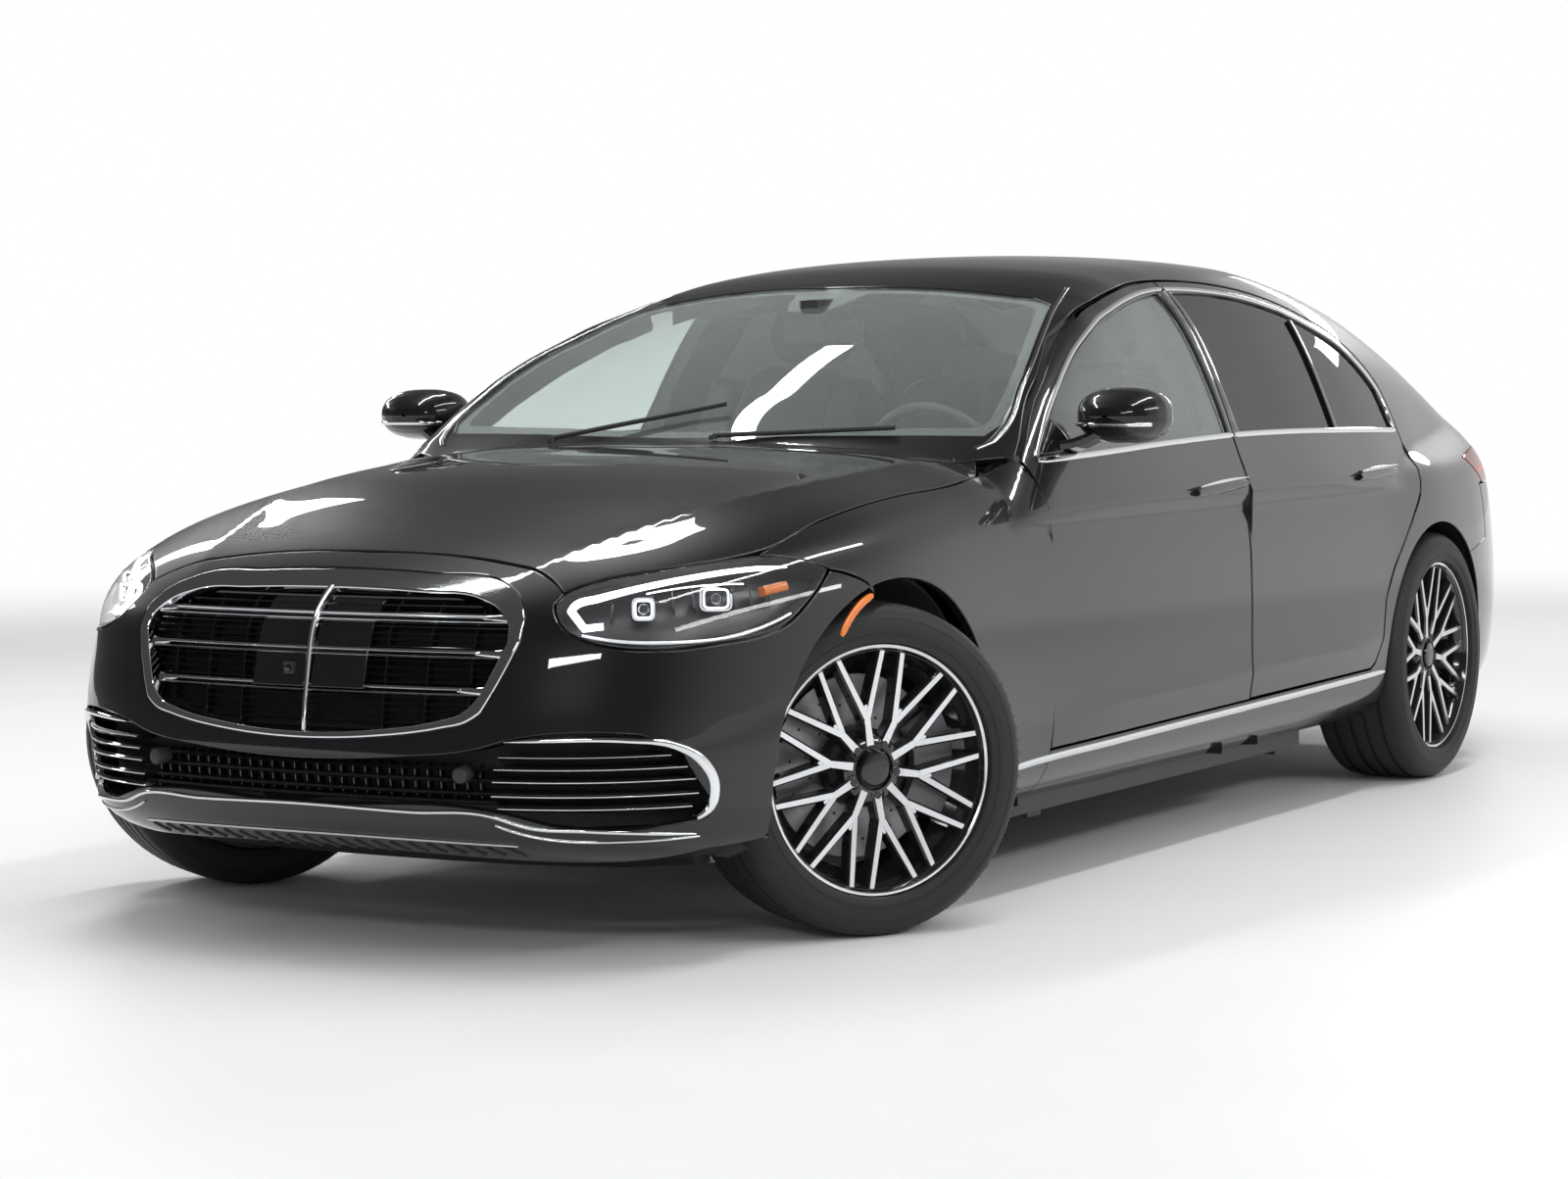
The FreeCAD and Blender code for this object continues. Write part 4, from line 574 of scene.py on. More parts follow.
def turned(mesh, profile, centre, axis, count=48, slot=0):
    """Surface of revolution; profile holds (along the axis, radius) pairs."""
    axis = np.array(axis, float) / np.linalg.norm(axis)
    first = np.cross(axis, (0, 0, 1) if abs(axis[2]) < .9 else (1, 0, 0))
    first /= np.linalg.norm(first)
    second = np.cross(axis, first)
    angles = np.linspace(0, 2 * math.pi, count, endpoint=False)
    ring = first * np.cos(angles)[:, None] + second * np.sin(angles)[:, None]
    verts = np.concatenate([np.array(centre) + axis * t + ring * r for t, r in profile])
    faces = [(i * count + k, i * count + (k + 1) % count, (i + 1) * count + (k + 1) % count,
              (i + 1) * count + k)
             for i in range(len(profile) - 1) for k in range(count)]
    mesh.add(verts, faces, slot=slot)


def block(mesh, low, high, slot=0, bevel=0.0):
    """Box between two corners, its upright edges cut back by a bevel."""
    x0, y0, z0 = low
    x1, y1, z1 = high
    b = bevel
    outline = [(x0 + b, y0), (x1 - b, y0), (x1, y0 + b), (x1, y1 - b), (x1 - b, y1), (x0 + b, y1),
               (x0, y1 - b), (x0, y0 + b)] if b else [(x0, y0), (x1, y0), (x1, y1), (x0, y1)]
    n = len(outline)
    verts = [(x, y, z) for z in (z0, z1) for x, y in outline]
    faces = [(i, (i + 1) % n, n + (i + 1) % n, n + i) for i in range(n)]
    mesh.add(verts, faces + [tuple(range(n))[::-1], tuple(range(n, 2 * n))], slot=slot)


def finish_part(name, mesh, materials, body, replaces=(), angle=38):
    """Object whose faces are smooth except across edges sharper than an angle."""
    obj = build(name, mesh, materials, body, replaces, custom=False)
    work = bmesh.new()
    work.from_mesh(obj.data)
    bmesh.ops.recalc_face_normals(work, faces=work.faces)
    work.to_mesh(obj.data)
    work.free()
    obj.data.set_sharp_from_angle(angle=math.radians(angle))
    return obj


def both_sides(mesh):
    twin = mesh.copy()
    twin.add_mirrored(mesh)
    return twin


def lowered(line, depth):
    """Skin points moved under the skin."""
    return line - normals_at(line) * depth


# Materials

def material(name, colour=(.5, .5, .5), rough=.5, metal=0.0, coat=0.0, coat_rough=.03, transmission=0.0,
             ior=1.5, emission=None, strength=0.0, alpha=1.0, spec=.5, sheen=0.0):
    m = bpy.data.materials.new(name)
    m.use_nodes = True
    s = m.node_tree.nodes["Principled BSDF"].inputs
    s["Base Color"].default_value = (*colour, 1)
    s["Roughness"].default_value = rough
    s["Metallic"].default_value = metal
    s["Coat Weight"].default_value = coat
    s["Coat Roughness"].default_value = coat_rough
    s["Transmission Weight"].default_value = transmission
    s["IOR"].default_value = ior
    s["Alpha"].default_value = alpha
    s["Specular IOR Level"].default_value = spec
    s["Sheen Weight"].default_value = sheen
    if emission:
        s["Emission Color"].default_value = (*emission, 1)
        s["Emission Strength"].default_value = strength
    return m


def textured(m, kind="noise", scale=200.0, bump=.1, distance=.001, colour=None, rough=None, detail=4.0):
    """Adds a pattern in object space: bump, and if given a second colour and a roughness range."""
    tree = m.node_tree
    shader = tree.nodes["Principled BSDF"]
    where = tree.nodes.new("ShaderNodeTexCoord")
    if kind == "noise":
        pattern = tree.nodes.new("ShaderNodeTexNoise")
        pattern.inputs["Detail"].default_value = detail
        value = pattern.outputs["Fac"]
    else:
        pattern = tree.nodes.new("ShaderNodeTexVoronoi")
        value = pattern.outputs["Distance"]
    pattern.inputs["Scale"].default_value = scale
    tree.links.new(where.outputs["Object"], pattern.inputs["Vector"])
    if bump:
        b = tree.nodes.new("ShaderNodeBump")
        b.inputs["Strength"].default_value = bump
        b.inputs["Distance"].default_value = distance
        tree.links.new(value, b.inputs["Height"])
        tree.links.new(b.outputs["Normal"], shader.inputs["Normal"])
    if colour:
        mix = tree.nodes.new("ShaderNodeMix")
        mix.data_type = "RGBA"
        mix.inputs["A"].default_value = shader.inputs["Base Color"].default_value
        mix.inputs["B"].default_value = (*colour, 1)
        tree.links.new(value, mix.inputs["Factor"])
        tree.links.new(mix.outputs["Result"], shader.inputs["Base Color"])
    if rough:
        spread = tree.nodes.new("ShaderNodeMapRange")
        spread.inputs["To Min"].default_value, spread.inputs["To Max"].default_value = rough
        tree.links.new(value, spread.inputs["Value"])
        tree.links.new(spread.outputs["Result"], shader.inputs["Roughness"])
    return m


PAINT = textured(material("paint", (.0045, .0045, .0055), .35, 0, 1, .012, spec=.12), scale=900, bump=.02,
                 distance=.0002, colour=(.007, .007, .009))
PAINT_INNER = textured(material("paint_inner", (.006, .006, .007), .4, 0, .5, .1), scale=300, bump=.05,
                       colour=(.010, .010, .011))
TRIM = textured(material("trim_black", (.018, .018, .019), .5), "voronoi", 900, .3, .0004, (.03, .03, .031))
GLOSS_BLACK = textured(material("gloss_black", (.006, .006, .006), .08, 0, .6, .02), scale=700, bump=.01,
                       distance=.0002, colour=(.009, .009, .009))
CHROME = textured(material("chrome", (.80, .81, .83), .06, 1), scale=60, bump=.015, distance=.0004,
                  rough=(.05, .09))
GLASS = textured(material("clear_glass", (.86, .93, .90), 0, 0, 0, .0, .96, 1.45), scale=8, bump=.01,
                 distance=.0004)
DARK_GLASS = textured(material("tinted_glass", (.045, .048, .05), 0, 0, 0, 0, .9, 1.45), scale=8, bump=.01,
                      distance=.0004)
LAMP_GLASS = textured(material("lamp_glass", (.97, .98, .99), .01, 0, 0, 0, 1, 1.3), scale=20, bump=.01,
                      distance=.0002)
LAMP_DARK = textured(material("lamp_inner", (.02, .02, .022), .35), scale=300, bump=.1,
                     colour=(.04, .04, .042))
RED = textured(material("lamp_red", (.42, .006, .008), .04, 0, .5, .02, .55, 1.45), scale=90, bump=.03,
               colour=(.30, .004, .006))
AMBER = textured(material("lamp_amber", (.85, .22, .02), .08, 0, .4, .02, .3), scale=120, bump=.03)
LIGHT_GUIDE = textured(material("light_guide", (.9, .92, .95), .2, emission=(.95, .97, 1), strength=2.6),
                       scale=200, bump=.02)
RUBBER = textured(material("rubber", (.011, .011, .012), .55, spec=.35), scale=420, bump=.25, distance=.0005,
                  colour=(.019, .019, .020))
SEAL = textured(material("seal", (.010, .010, .010), .7), scale=500, bump=.1, colour=(.02, .02, .02))
STEEL = textured(material("steel", (.42, .41, .40), .34, 1), scale=160, bump=.06, distance=.0004,
                 colour=(.33, .31, .29), rough=(.28, .5))
DARK_METAL = textured(material("dark_metal", (.035, .035, .037), .55, .4), scale=120, bump=.15,
                      distance=.0008, colour=(.06, .058, .055))
LEATHER = textured(material("leather", (.020, .019, .019), .46, coat=.08, coat_rough=.35), "voronoi", 620,
                   .35, .0005, (.032, .030, .029))
ALLOY = textured(material("alloy", (.78, .79, .81), .17, 1), scale=220, bump=.03, distance=.0002,
                 rough=(.14, .24))
POCKET = textured(material("pocket_black", (.010, .010, .011), .12, 0, .7, .03), scale=300, bump=.02,
                  colour=(.014, .014, .015))
DISC = textured(material("disc_iron", (.36, .36, .37), .38, 1), scale=90, bump=.05, distance=.0003,
                colour=(.28, .27, .27), rough=(.3, .46))
CALIPER = textured(material("caliper_grey", (.17, .175, .18), .42, .3), scale=200, bump=.08,
                   colour=(.22, .22, .225))
CARPET = textured(material("carpet", (.018, .018, .018), .95, sheen=.4), "voronoi", 1400, .8, .002,
                  (.03, .03, .03))
MIRROR = textured(material("mirror_glass", (.86, .87, .88), .02, 1), scale=40, bump=.003)
RED_GLOW = textured(material("lamp_red_glow", (.5, .01, .01), .2, emission=(1, .03, .02), strength=.5),
                    scale=120, bump=.05)
SCREEN_GLASS = textured(material("display", (.004, .005, .007), .06, 0, .8, .02), scale=30, bump=.005)

# The car's outlines, metres

BELT, SILL = .975, .205
FRONT_AXLE, REAR_AXLE, AXLE_HEIGHT = 1.7825, -1.4335, .356
FRONT_ARCH, REAR_ARCH = .405, .385
HINGE_FRONT, HINGE_REAR, HINGE_SIDE, SWEEP = .972, -.168, .9153, .076
EDGE_ROOM = .030          # free way round a door hinge for the door's rolled front edge

DOOR_AXES = [(x, side * HINGE_SIDE) for x in (HINGE_FRONT, HINGE_REAR) for side in (1, -1)]
A_SHUT = HINGE_FRONT + SWEEP
B_SHUT = HINGE_REAR + SWEEP


def arch(centre, radius, start, end, count=40):
    """Arc of a wheel opening in (x, z), angles in degrees from +x."""
    return [(centre + radius * math.cos(math.radians(a)), AXLE_HEIGHT + radius * math.sin(math.radians(a)))
            for a in np.linspace(start, end, count)]


def foot(radius, z=SILL):
    """Angle at which a wheel opening reaches a height."""
    return math.degrees(math.asin((z - AXLE_HEIGHT) / radius))


PILLAR_SHUT = [(1.044, BELT + .012), (1.012, 1.012), (.952, 1.060), (.857, 1.128), (.750, 1.190),
               (.640, 1.243), (.523, 1.288), (.404, 1.327), (.246, 1.364), (.096, 1.392)]
FRONT_DOOR = [(A_SHUT, .326), (A_SHUT, BELT - .02)] + PILLAR_SHUT + [
    (-.084, 1.413), (-.150, 1.417), (-.126, 1.200), (B_SHUT + .003, BELT + .01), (B_SHUT + .003, .342)]
REAR_DOOR = [(B_SHUT - .003, .345), (B_SHUT - .003, BELT + .01), (-.132, 1.200), (-.157, 1.417),
             (-.352, 1.418), (-.646, 1.398), (-.990, 1.333), (-1.235, 1.248), (-1.352, 1.156),
             (-1.372, 1.130), (-1.376, 1.000), (-1.368, .898), (-1.324, .845), (-1.230, .769),
             (-1.138, .688), (-1.060, .616), (-1.012, .540), (-1.001, .436), (-.960, .372), (-.930, .356)]
FRONT_WINDOW = [(.985, .998), (.934, 1.033), (.841, 1.099), (.737, 1.160), (.630, 1.212), (.516, 1.257),
                (.400, 1.296), (.244, 1.333), (.095, 1.362), (-.100, 1.386), (-.090, 1.200), (-.068, 1.020),
                (.400, 1.006)]
REAR_WINDOW = [(-.150, 1.022), (-.168, 1.200), (-.184, 1.388), (-.352, 1.389), (-.646, 1.369),
               (-.985, 1.304), (-1.200, 1.226), (-1.300, 1.150), (-1.325, 1.120), (-1.330, 1.010),
               (-.700, 1.022)]
HOOD = [(2.374, 0), (2.384, .350), (2.400, .445), (2.446, .532), (2.408, .562), (2.290, .668), (2.155, .758),
        (2.085, .786), (1.846, .795), (1.544, .801), (1.277, .817), (1.160, .806), (1.102, .772),
        (1.234, .560), (1.300, .300), (1.320, 0)]
SCREEN = [(1.190, 0), (1.172, .200), (1.120, .420), (1.056, .623), (1.020, .750), (.970, .774), (.843, .755),
          (.739, .729), (.528, .662), (.371, .611), (.337, .543), (.352, .300), (.372, 0)]
BACKLIGHT = [(-1.235, 0), (-1.220, .300), (-1.185, .520), (-1.500, .602), (-1.830, .640), (-1.930, .400),
             (-1.955, 0)]
LAMP = [(2.448, .537, .756), (2.411, .565, .773), (2.293, .671, .800), (2.157, .761, .819),
        (2.115, .785, .823), (2.054, .836, .817), (2.020, .865, .807), (1.992, .889, .791),
        (2.039, .893, .755), (2.085, .888, .722), (2.135, .877, .690), (2.192, .857, .671),
        (2.300, .806, .657), (2.400, .736, .649), (2.453, .680, .653), (2.491, .616, .669),
        (2.502, .579, .684), (2.495, .549, .712), (2.476, .532, .737)]
GRILLE = [(0, .797), (.219, .791), (.386, .779), (.452, .750), (.488, .710), (.492, .664), (.466, .597),
          (.430, .523), (.400, .503), (.347, .490), (.190, .468), (0, .459)]
INTAKE = [(0, .418), (.250, .430), (.430, .452), (.484, .468), (.718, .480), (.775, .449), (.808, .335),
          (.798, .306), (.762, .296), (.581, .292), (.474, .320), (0, .322)]
LID_HALF = .610
PLATE = (.265, .762, .908)

# Paint panels

bodies = {"body": Mesh(), "hood": Mesh(), "lid": Mesh(), "front_bumper": Mesh(), "rear_bumper": Mesh(),
          "fender": Mesh(), "door_front": Mesh(), "door_rear": Mesh()}

hood_outline = on_top(whole([(x, y) for x, y in HOOD]))
patch(bodies["hood"], "top", hood_outline)

front_door = on_side(FRONT_DOOR)
rear_door = on_side(REAR_DOOR)
patch(bodies["door_front"], "wrap", front_door, [on_side(FRONT_WINDOW)])
patch(bodies["door_rear"], "wrap", rear_door, [on_side(REAR_WINDOW)])

# Fender: hood's edge, lamp's top, bumper's shut line, arch, sill and door
hood_side = [(x, y) for x, y in HOOD if 1.15 < x < 2.1 and y > .78][::-1]
fender_top = on_top([(1.052, .848), (1.110, .822)] + [(x, y + .006) for x, y in hood_side] + [(2.110, .790)],
                    closed=False)
fender_lamp = near_skin([(2.110, .795, .828), (2.054, .842, .820), (2.020, .871, .810),
                         (1.985, .893, .791)], closed=False)
bumper_shut = near_skin([(1.985, .893, .790), (1.938, .912, .778), (1.894, .929, .757),
                         (1.885, .940, .742)], closed=False)
high = math.degrees(math.atan2(.742 - AXLE_HEIGHT, 1.885 - FRONT_AXLE))
fender_low = on_side([(1.885, .742)] + arch(FRONT_AXLE, FRONT_ARCH, high, 180 - foot(FRONT_ARCH), 50)
                     + [(1.054, SILL), (1.054, .955)], closed=False)
fender_outline = np.concatenate([fender_top[:-1], fender_lamp[:-1], bumper_shut[:-1], fender_low[:-1]])
patch(bodies["fender"], "wrap", fender_outline)

# Front bumper: half outline on the middle line, then mirrored
lamp_outline = near_skin(LAMP)


def middle_join(lines):
    """Closed outline: open lines that start and end on the middle line, and their mirror image."""
    half = np.concatenate([line[:-1] for line in lines[:-1]] + [lines[-1]])
    half[0, 1] = half[-1, 1] = 0
    return np.concatenate([half, mirror_points(half[-2:0:-1])])


bumper_top = on_top([(2.380, 0), (2.390, .350), (2.406, .445), (2.450, .536)], closed=False)
nose_lamp = near_skin([(2.450, .536, .757), (2.476, .530, .737), (2.497, .548, .712), (2.505, .578, .684),
                       (2.494, .616, .665), (2.455, .682, .648), (2.400, .740, .644), (2.300, .811, .652),
                       (2.192, .862, .666), (2.135, .882, .685), (2.085, .892, .718), (2.039, .897, .753),
                       (1.991, .893, .786)], closed=False)
shut_down = near_skin([(1.991, .893, .786), (1.938, .915, .772), (1.894, .932, .751), (1.882, .942, .736)],
                      closed=False)
high = math.degrees(math.atan2(.736 - AXLE_HEIGHT, 1.882 - FRONT_AXLE))
bumper_arch = on_side([(1.882, .736)] + arch(FRONT_AXLE, FRONT_ARCH, high, foot(FRONT_ARCH, .235), 50),
                      closed=False)
bumper_low = near_skin([(FRONT_AXLE + .386, .86, .235), (2.300, .79, .212), (2.475, .434, .205),
                        (2.560, 0, .200)],
                       closed=False)
bumper_outline = middle_join([bumper_top, nose_lamp, shut_down, bumper_arch, bumper_low])
grille_hole = on_front(whole_front(GRILLE))
intake_hole = on_front(whole_front(INTAKE))
patch(bodies["front_bumper"], "nose", bumper_outline, [grille_hole, intake_hole])

# Rear bumper
rear_arch_foot = foot(REAR_ARCH, .235)
arch_x = REAR_AXLE - REAR_ARCH * math.cos(math.radians(rear_arch_foot))
high = math.degrees(math.asin((.640 - AXLE_HEIGHT) / REAR_ARCH))
start_x = REAR_AXLE - REAR_ARCH * math.cos(math.radians(high))
rear_shut = on_side([(start_x, .640), (-1.893, .676), (-1.903, .835)], closed=False)
rear_top = on_tail([(1.286, .834), (1.090, .832), (.900, .828), (.750, .825), (.628, .823), (.617, .694),
                    (.365, .692), (0, .690)], closed=False, corner=30)
rear_low = near_skin([(arch_x, .88, .235), (-2.300, .78, .210), (-2.500, .40, .205), (-2.560, 0, .205)],
                     closed=False)
rear_arch_line = on_side(arch(REAR_AXLE, REAR_ARCH, 180 - high, 180 - rear_arch_foot, 40), closed=False)
rear_outline = middle_join([rear_top[::-1], rear_shut[::-1], rear_arch_line, rear_low])
patch(bodies["rear_bumper"], "tail", rear_outline)

# Trunk lid
lid_outline = on_rear([(LID_HALF - .006, LID_LOW + .006), (LID_HALF - .006, .95)], closed=False)
lid_side = near_skin([(-2.500, LID_HALF - .006, 1.00), (-2.400, LID_HALF - .006, 1.06),
                      (-1.996, LID_HALF - .006, 1.09)],
                     closed=False)
lid_front = near_skin([(-1.996, LID_HALF - .006, 1.09), (-1.996, .3, 1.14), (-1.996, 0, 1.16)], closed=False)
lid_low = on_rear([(0, LID_LOW + .006), (LID_HALF - .006, LID_LOW + .006)], closed=False)
lid_half = np.concatenate([lid_low[:-1], lid_outline[:-1], lid_side[:-1], lid_front])
lid_half[0, 1] = lid_half[-1, 1] = 0
lid_all = np.concatenate([lid_half, mirror_points(lid_half[-2:0:-1])])
plate_hole = on_rear([(PLATE[0], PLATE[1]), (PLATE[0], PLATE[2]), (-PLATE[0], PLATE[2]),
                      (-PLATE[0], PLATE[1])])
patch(bodies["lid"], "lid", lid_all, [plate_hole], depth=.02)

# Body: sides, posts and roof in one, with the openings for doors and glass
cowl = on_top([(1.314, 0), (1.294, .300), (1.228, .560), (1.096, .777), (1.054, .838)], closed=False)
DOOR_OPENING = [(1.048, .955)] + PILLAR_SHUT + [(-.084, 1.414), (-.157, 1.418), (-.352, 1.418),
                                                (-.646, 1.398), (-.990, 1.333),
                (-1.235, 1.248), (-1.352, 1.156), (-1.372, 1.130), (-1.376, 1.000), (-1.368, .898),
                                                (-1.324, .845),
                (-1.230, .769), (-1.138, .688), (-1.060, .616), (-1.012, .540), (-1.001, .436),
                                                (-.960, .372),
                (-.930, .356), (B_SHUT, .343), (1.048, .326)]
opening = shrunk(np.array(DOOR_OPENING), -.006)
opening = on_side([tuple(p) for p in opening], closed=False)
sill = on_side([(1.054, .318), (1.054, SILL)] + arch(REAR_AXLE, REAR_ARCH, foot(REAR_ARCH), 180 - high, 60)
               + [(start_x + .004, .640), (-1.887, .676), (-1.897, .835), (-1.951, .842)], closed=False)
lamp_edge = on_side([(-1.951, .842), (-1.850, .916), (-2.100, .940), (-2.250, .948)], closed=False,
                    corner=20)
join_line = near_skin([(-2.250, .820, .948), (-2.250, .760, 1.00), (-2.250, LID_HALF + .006, 1.08)],
                      closed=False)
beside_lid = near_skin([(-2.250, LID_HALF + .006, 1.08), (-1.984, LID_HALF + .006, 1.09)], closed=False)
behind_lid = near_skin([(-1.984, LID_HALF + .006, 1.09), (-1.984, .3, 1.14), (-1.984, 0, 1.17)],
                       closed=False)
body_outline = middle_join([cowl, opening, sill, lamp_edge, join_line, beside_lid, behind_lid])
screen = on_top(whole(SCREEN))
backlight = on_top(whole(BACKLIGHT))
patch(bodies["body"], "wrap", body_outline, [screen, backlight])

# Rear corners above the lamps, beside the lid
lid_edge = near_skin([(-2.250, LID_HALF + .006, 1.08), (-2.400, LID_HALF + .006, 1.06),
                      (-2.480, LID_HALF + .006, 1.00), (-2.500, LID_HALF + .006, .945)], closed=False)
lamp_top = near_skin([(-2.500, LID_HALF + .006, .945), (-2.420, .720, .945), (-2.330, .790, .947),
                      (-2.250, .820, .948)],
                     closed=False)
corner_outline = np.concatenate([join_line[:-1], lid_edge[:-1], lamp_top[:-1]])
corner = patch(Mesh(), "corner", corner_outline, roll=.0015)

for side, turn in (("left", 1), ("right", -1)):
    for end in ("front", "rear"):
        panel = Mesh()
        if turn > 0:
            panel.join(bodies["door_" + end])
        else:
            panel.add_mirrored(bodies["door_" + end])
        name = "door_%s_%s" % (end, side)
        under_skin(name, panel, slot=1, lining=2)
        build("paint_" + name, panel, [PAINT, PAINT_INNER, TRIM], name, [name])
whole_body = bodies["body"].copy()
whole_body.join(corner)
whole_body.add_mirrored(corner)
under_skin("body_shell", whole_body, slot=1, lining=2, room=DOOR_AXES)
build("paint_body", whole_body, [PAINT, PAINT_INNER, TRIM], "body", ["body_shell"])
fenders = bodies["fender"].copy()
fenders.add_mirrored(bodies["fender"])
under_skin("front_fenders", fenders, slot=1, room=DOOR_AXES)
build("paint_fenders", fenders, [PAINT, PAINT_INNER], "body", ["front_fenders"])
for part, node, body in (("hood", "hood", "hood"), ("lid", "trunk_lid", "trunk_lid"),
                         ("front_bumper", "front_bumper", "body"), ("rear_bumper", "rear_bumper", "body")):
    panel = bodies[part]
    under_skin(node, panel, slot=1)
    build("paint_" + node, panel, [PAINT, PAINT_INNER], body, [node])

# Glass

def pane(name, chart, outline, body, node, finish, holes=()):
    sheet = patch(Mesh(), chart, outline, holes, spacing=.03, roll=.0006, depth=.005, offset=.004, back=.005)
    return build(name, sheet, [finish], body, [node])


pane("windscreen_glass", "top", screen, "body", "windscreen", GLASS)
pane("rear_window_glass", "top", backlight, "body", "rear_window", DARK_GLASS)

SEAT_Y = .428

# Radiator grille: bright frame, three double cross bars, centre bar, slats and smooth sensor panels
GRILLE_IN = [(0, .762), (.219, .757), (.368, .747), (.425, .726), (.460, .694), (.465, .664), (.442, .604),
             (.409, .540), (.384, .520), (.338, .506), (.188, .483), (0, .473)]
DOUBLE_BARS = [(.712, .452), (.641, .452), (.568, .420)]


def in_grille(points, depth=0.0, **kw):
    """Points of the grille's face, which stands more upright than the bumper round it."""
    q = on_front(points, **kw)
    sunk = .003 + .028 * np.clip((.770 - q[:, 2]) / .3, 0, 1) + depth
    return lowered(q, 0) - normals_at(q) * sunk[:, None]


grille = Mesh()
patch(grille, "nose", on_front(whole_front(GRILLE), step=.007),
      [on_front(whole_front(GRILLE_IN), step=.007)], spacing=.007, roll=.0045, depth=.045, offset=-.0015)
build("grille_frame", grille, [CHROME], "body", ["grille"])
bars = Mesh()
for z, end in DOUBLE_BARS:
    for shift, half, proud in ((.0050, .0036, .004), (-.0065, .0018, .002)):
        line = in_grille([(-end, z + shift), (end, z + shift)], closed=False, step=.02)
        sweep(bars, line, normals_at(line), [(-half, -.016), (-half, proud * .4), (-half * .5, proud),
                                             (half * .5, proud), (half, proud * .4), (half, -.016)])
    for side in (1, -1):
        line = in_grille([(side * (end - .055), z + .001), (side * (end + .002), z + .001)], closed=False,
                         step=.008)
        sweep(bars, line, normals_at(line), rounded(.018, .005, .014), scale=np.linspace(.35, 1, len(line)))
line = in_grille([(0, .764), (0, .472)], closed=False, step=.01)
sweep(bars, line, normals_at(line), [(-.0055, -.02), (-.0055, .004), (-.0025, .0085), (.0025, .0085),
                                     (.0055, .004), (.0055, -.02)])
finish_part("grille_bars", bars, [CHROME], "body")
slats = Mesh()
for i in range(20):
    z = .484 + .0143 * i
    reach = float(np.interp(z, [.484, .520, .600, .664, .700, .755], [.19, .375, .435, .458, .452, .35]))
    line = in_grille([(-reach, z), (reach, z)], closed=False, step=.03, depth=.012)
    sweep(slats, line, normals_at(line), [(-.0014, -.022), (-.0022, .0), (0, .003), (.0022, .0),
                                          (.0014, -.022)])
for y in (.185, .285, .385):
    top = float(np.interp(y, [.2, .4], [.756, .735]))
    foot_z = float(np.interp(y, [.2, .3, .4], [.486, .500, .535]))
    for side in (1, -1):
        line = in_grille([(side * y, top), (side * y, foot_z)], closed=False, step=.02, depth=.014)
        sweep(slats, line, normals_at(line), [(-.0015, -.02), (-.0015, .003), (.0015, .003), (.0015, -.02)])
finish_part("grille_slats", slats, [GLOSS_BLACK], "body")
panels = Mesh()
for side in (1, -1):
    panel = on_front([(side * .0095, .7585), (side * .143, .7575), (side * .143, .566),
                      (side * .0095, .566)], step=.008)
    patch(panels, "nose", panel, spacing=.02, roll=.002, depth=.01, offset=.017)
back = on_front(whole_front([(y * 1.02, (z - .62) * 1.03 + .62) for y, z in GRILLE]))
patch(panels, "nose", back, spacing=.03, roll=.001, depth=.002, offset=.060, slot=1)
build("grille_sensor_panels", panels, [GLOSS_BLACK, SEAL], "body")
camera_eye = Mesh()
eye = on_front([(-.045, .598), (-.044, .598)], closed=False)[0] - np.array([.012, 0, 0])
block(camera_eye, eye + (-.02, -.012, -.012), eye + (.004, .012, .012), 0)
turned(camera_eye, [(.003, .008), (.009, .007), (.010, .004), (.0102, 0)], eye, (1, 0, 0), 20, 1)
finish_part("front_camera", camera_eye, [TRIM, GLOSS_BLACK], "body")

# Lower intakes: black back wall, four fins a side, slats in the middle, bright lines round them
intake = Mesh()
back = on_front(whole_front([(y * 1.02, (z - .37) * 1.06 + .37) for y, z in INTAKE]))
patch(intake, "nose", back, spacing=.03, roll=.001, depth=.002, offset=.065)
for z, inner, outer in ((.434, .47, .765), (.408, .46, .785), (.382, .455, .795), (.352, .45, .795),
                        (.325, .46, .785)):
    for side in (1, -1):
        line = lowered(on_front([(side * inner, z), (side * outer, z)], closed=False, step=.02), .014)
        sweep(intake, line, normals_at(line), [(-.003, -.05), (-.0065, -.004), (0, .003), (.0065, -.004),
                                               (.003, -.05)],
              slot=1)
        sweep(intake, line + (0, 0, .002), normals_at(line), rounded(.0032, .0042, 0), slot=2)
for z in (.408, .382, .354, .335):
    line = lowered(on_front([(-.46, z), (.46, z)], closed=False, step=.03), .022)
    sweep(intake, line, normals_at(line), [(-.003, -.03), (-.004, -.002), (0, .003), (.004, -.002),
                                           (.003, -.03)], slot=1)
for i in range(29):
    y = -.42 + .03 * i
    line = lowered(on_front([(y, .415), (y, .328)], closed=False, step=.03), .034)
    sweep(intake, line, normals_at(line), [(-.0015, -.02), (-.0015, 0), (.0015, 0), (.0015, -.02)], slot=1)
finish_part("lower_intake", intake, [SEAL, GLOSS_BLACK, CHROME], "body", ["lower_grille"])
lines = Mesh()
hook = near_skin([(2.592, .486, .467), (2.562, .571, .471), (2.476, .701, .469), (2.402, .768, .455),
                  (2.355, .799, .424), (2.325, .812, .372), (2.328, .803, .326), (2.352, .785, .306)],
                 closed=False, corner=60, step=.008)
width = np.interp(np.linspace(0, 1, len(hook)), [0, .1, .5, .75, .9, 1], [.3, .7, .9, 1.6, 1.7, .7])
sweep(lines, hook, normals_at(hook), rounded(.013, .006, .012), scale=width)
fang = near_skin([(2.575, .452, .300), (2.546, .542, .264), (2.450, .680, .262), (2.333, .781, .266)],
                 closed=False, corner=60, step=.01)
strip(lines, fang, .0055, .004, taper=3)
lines = both_sides(lines)
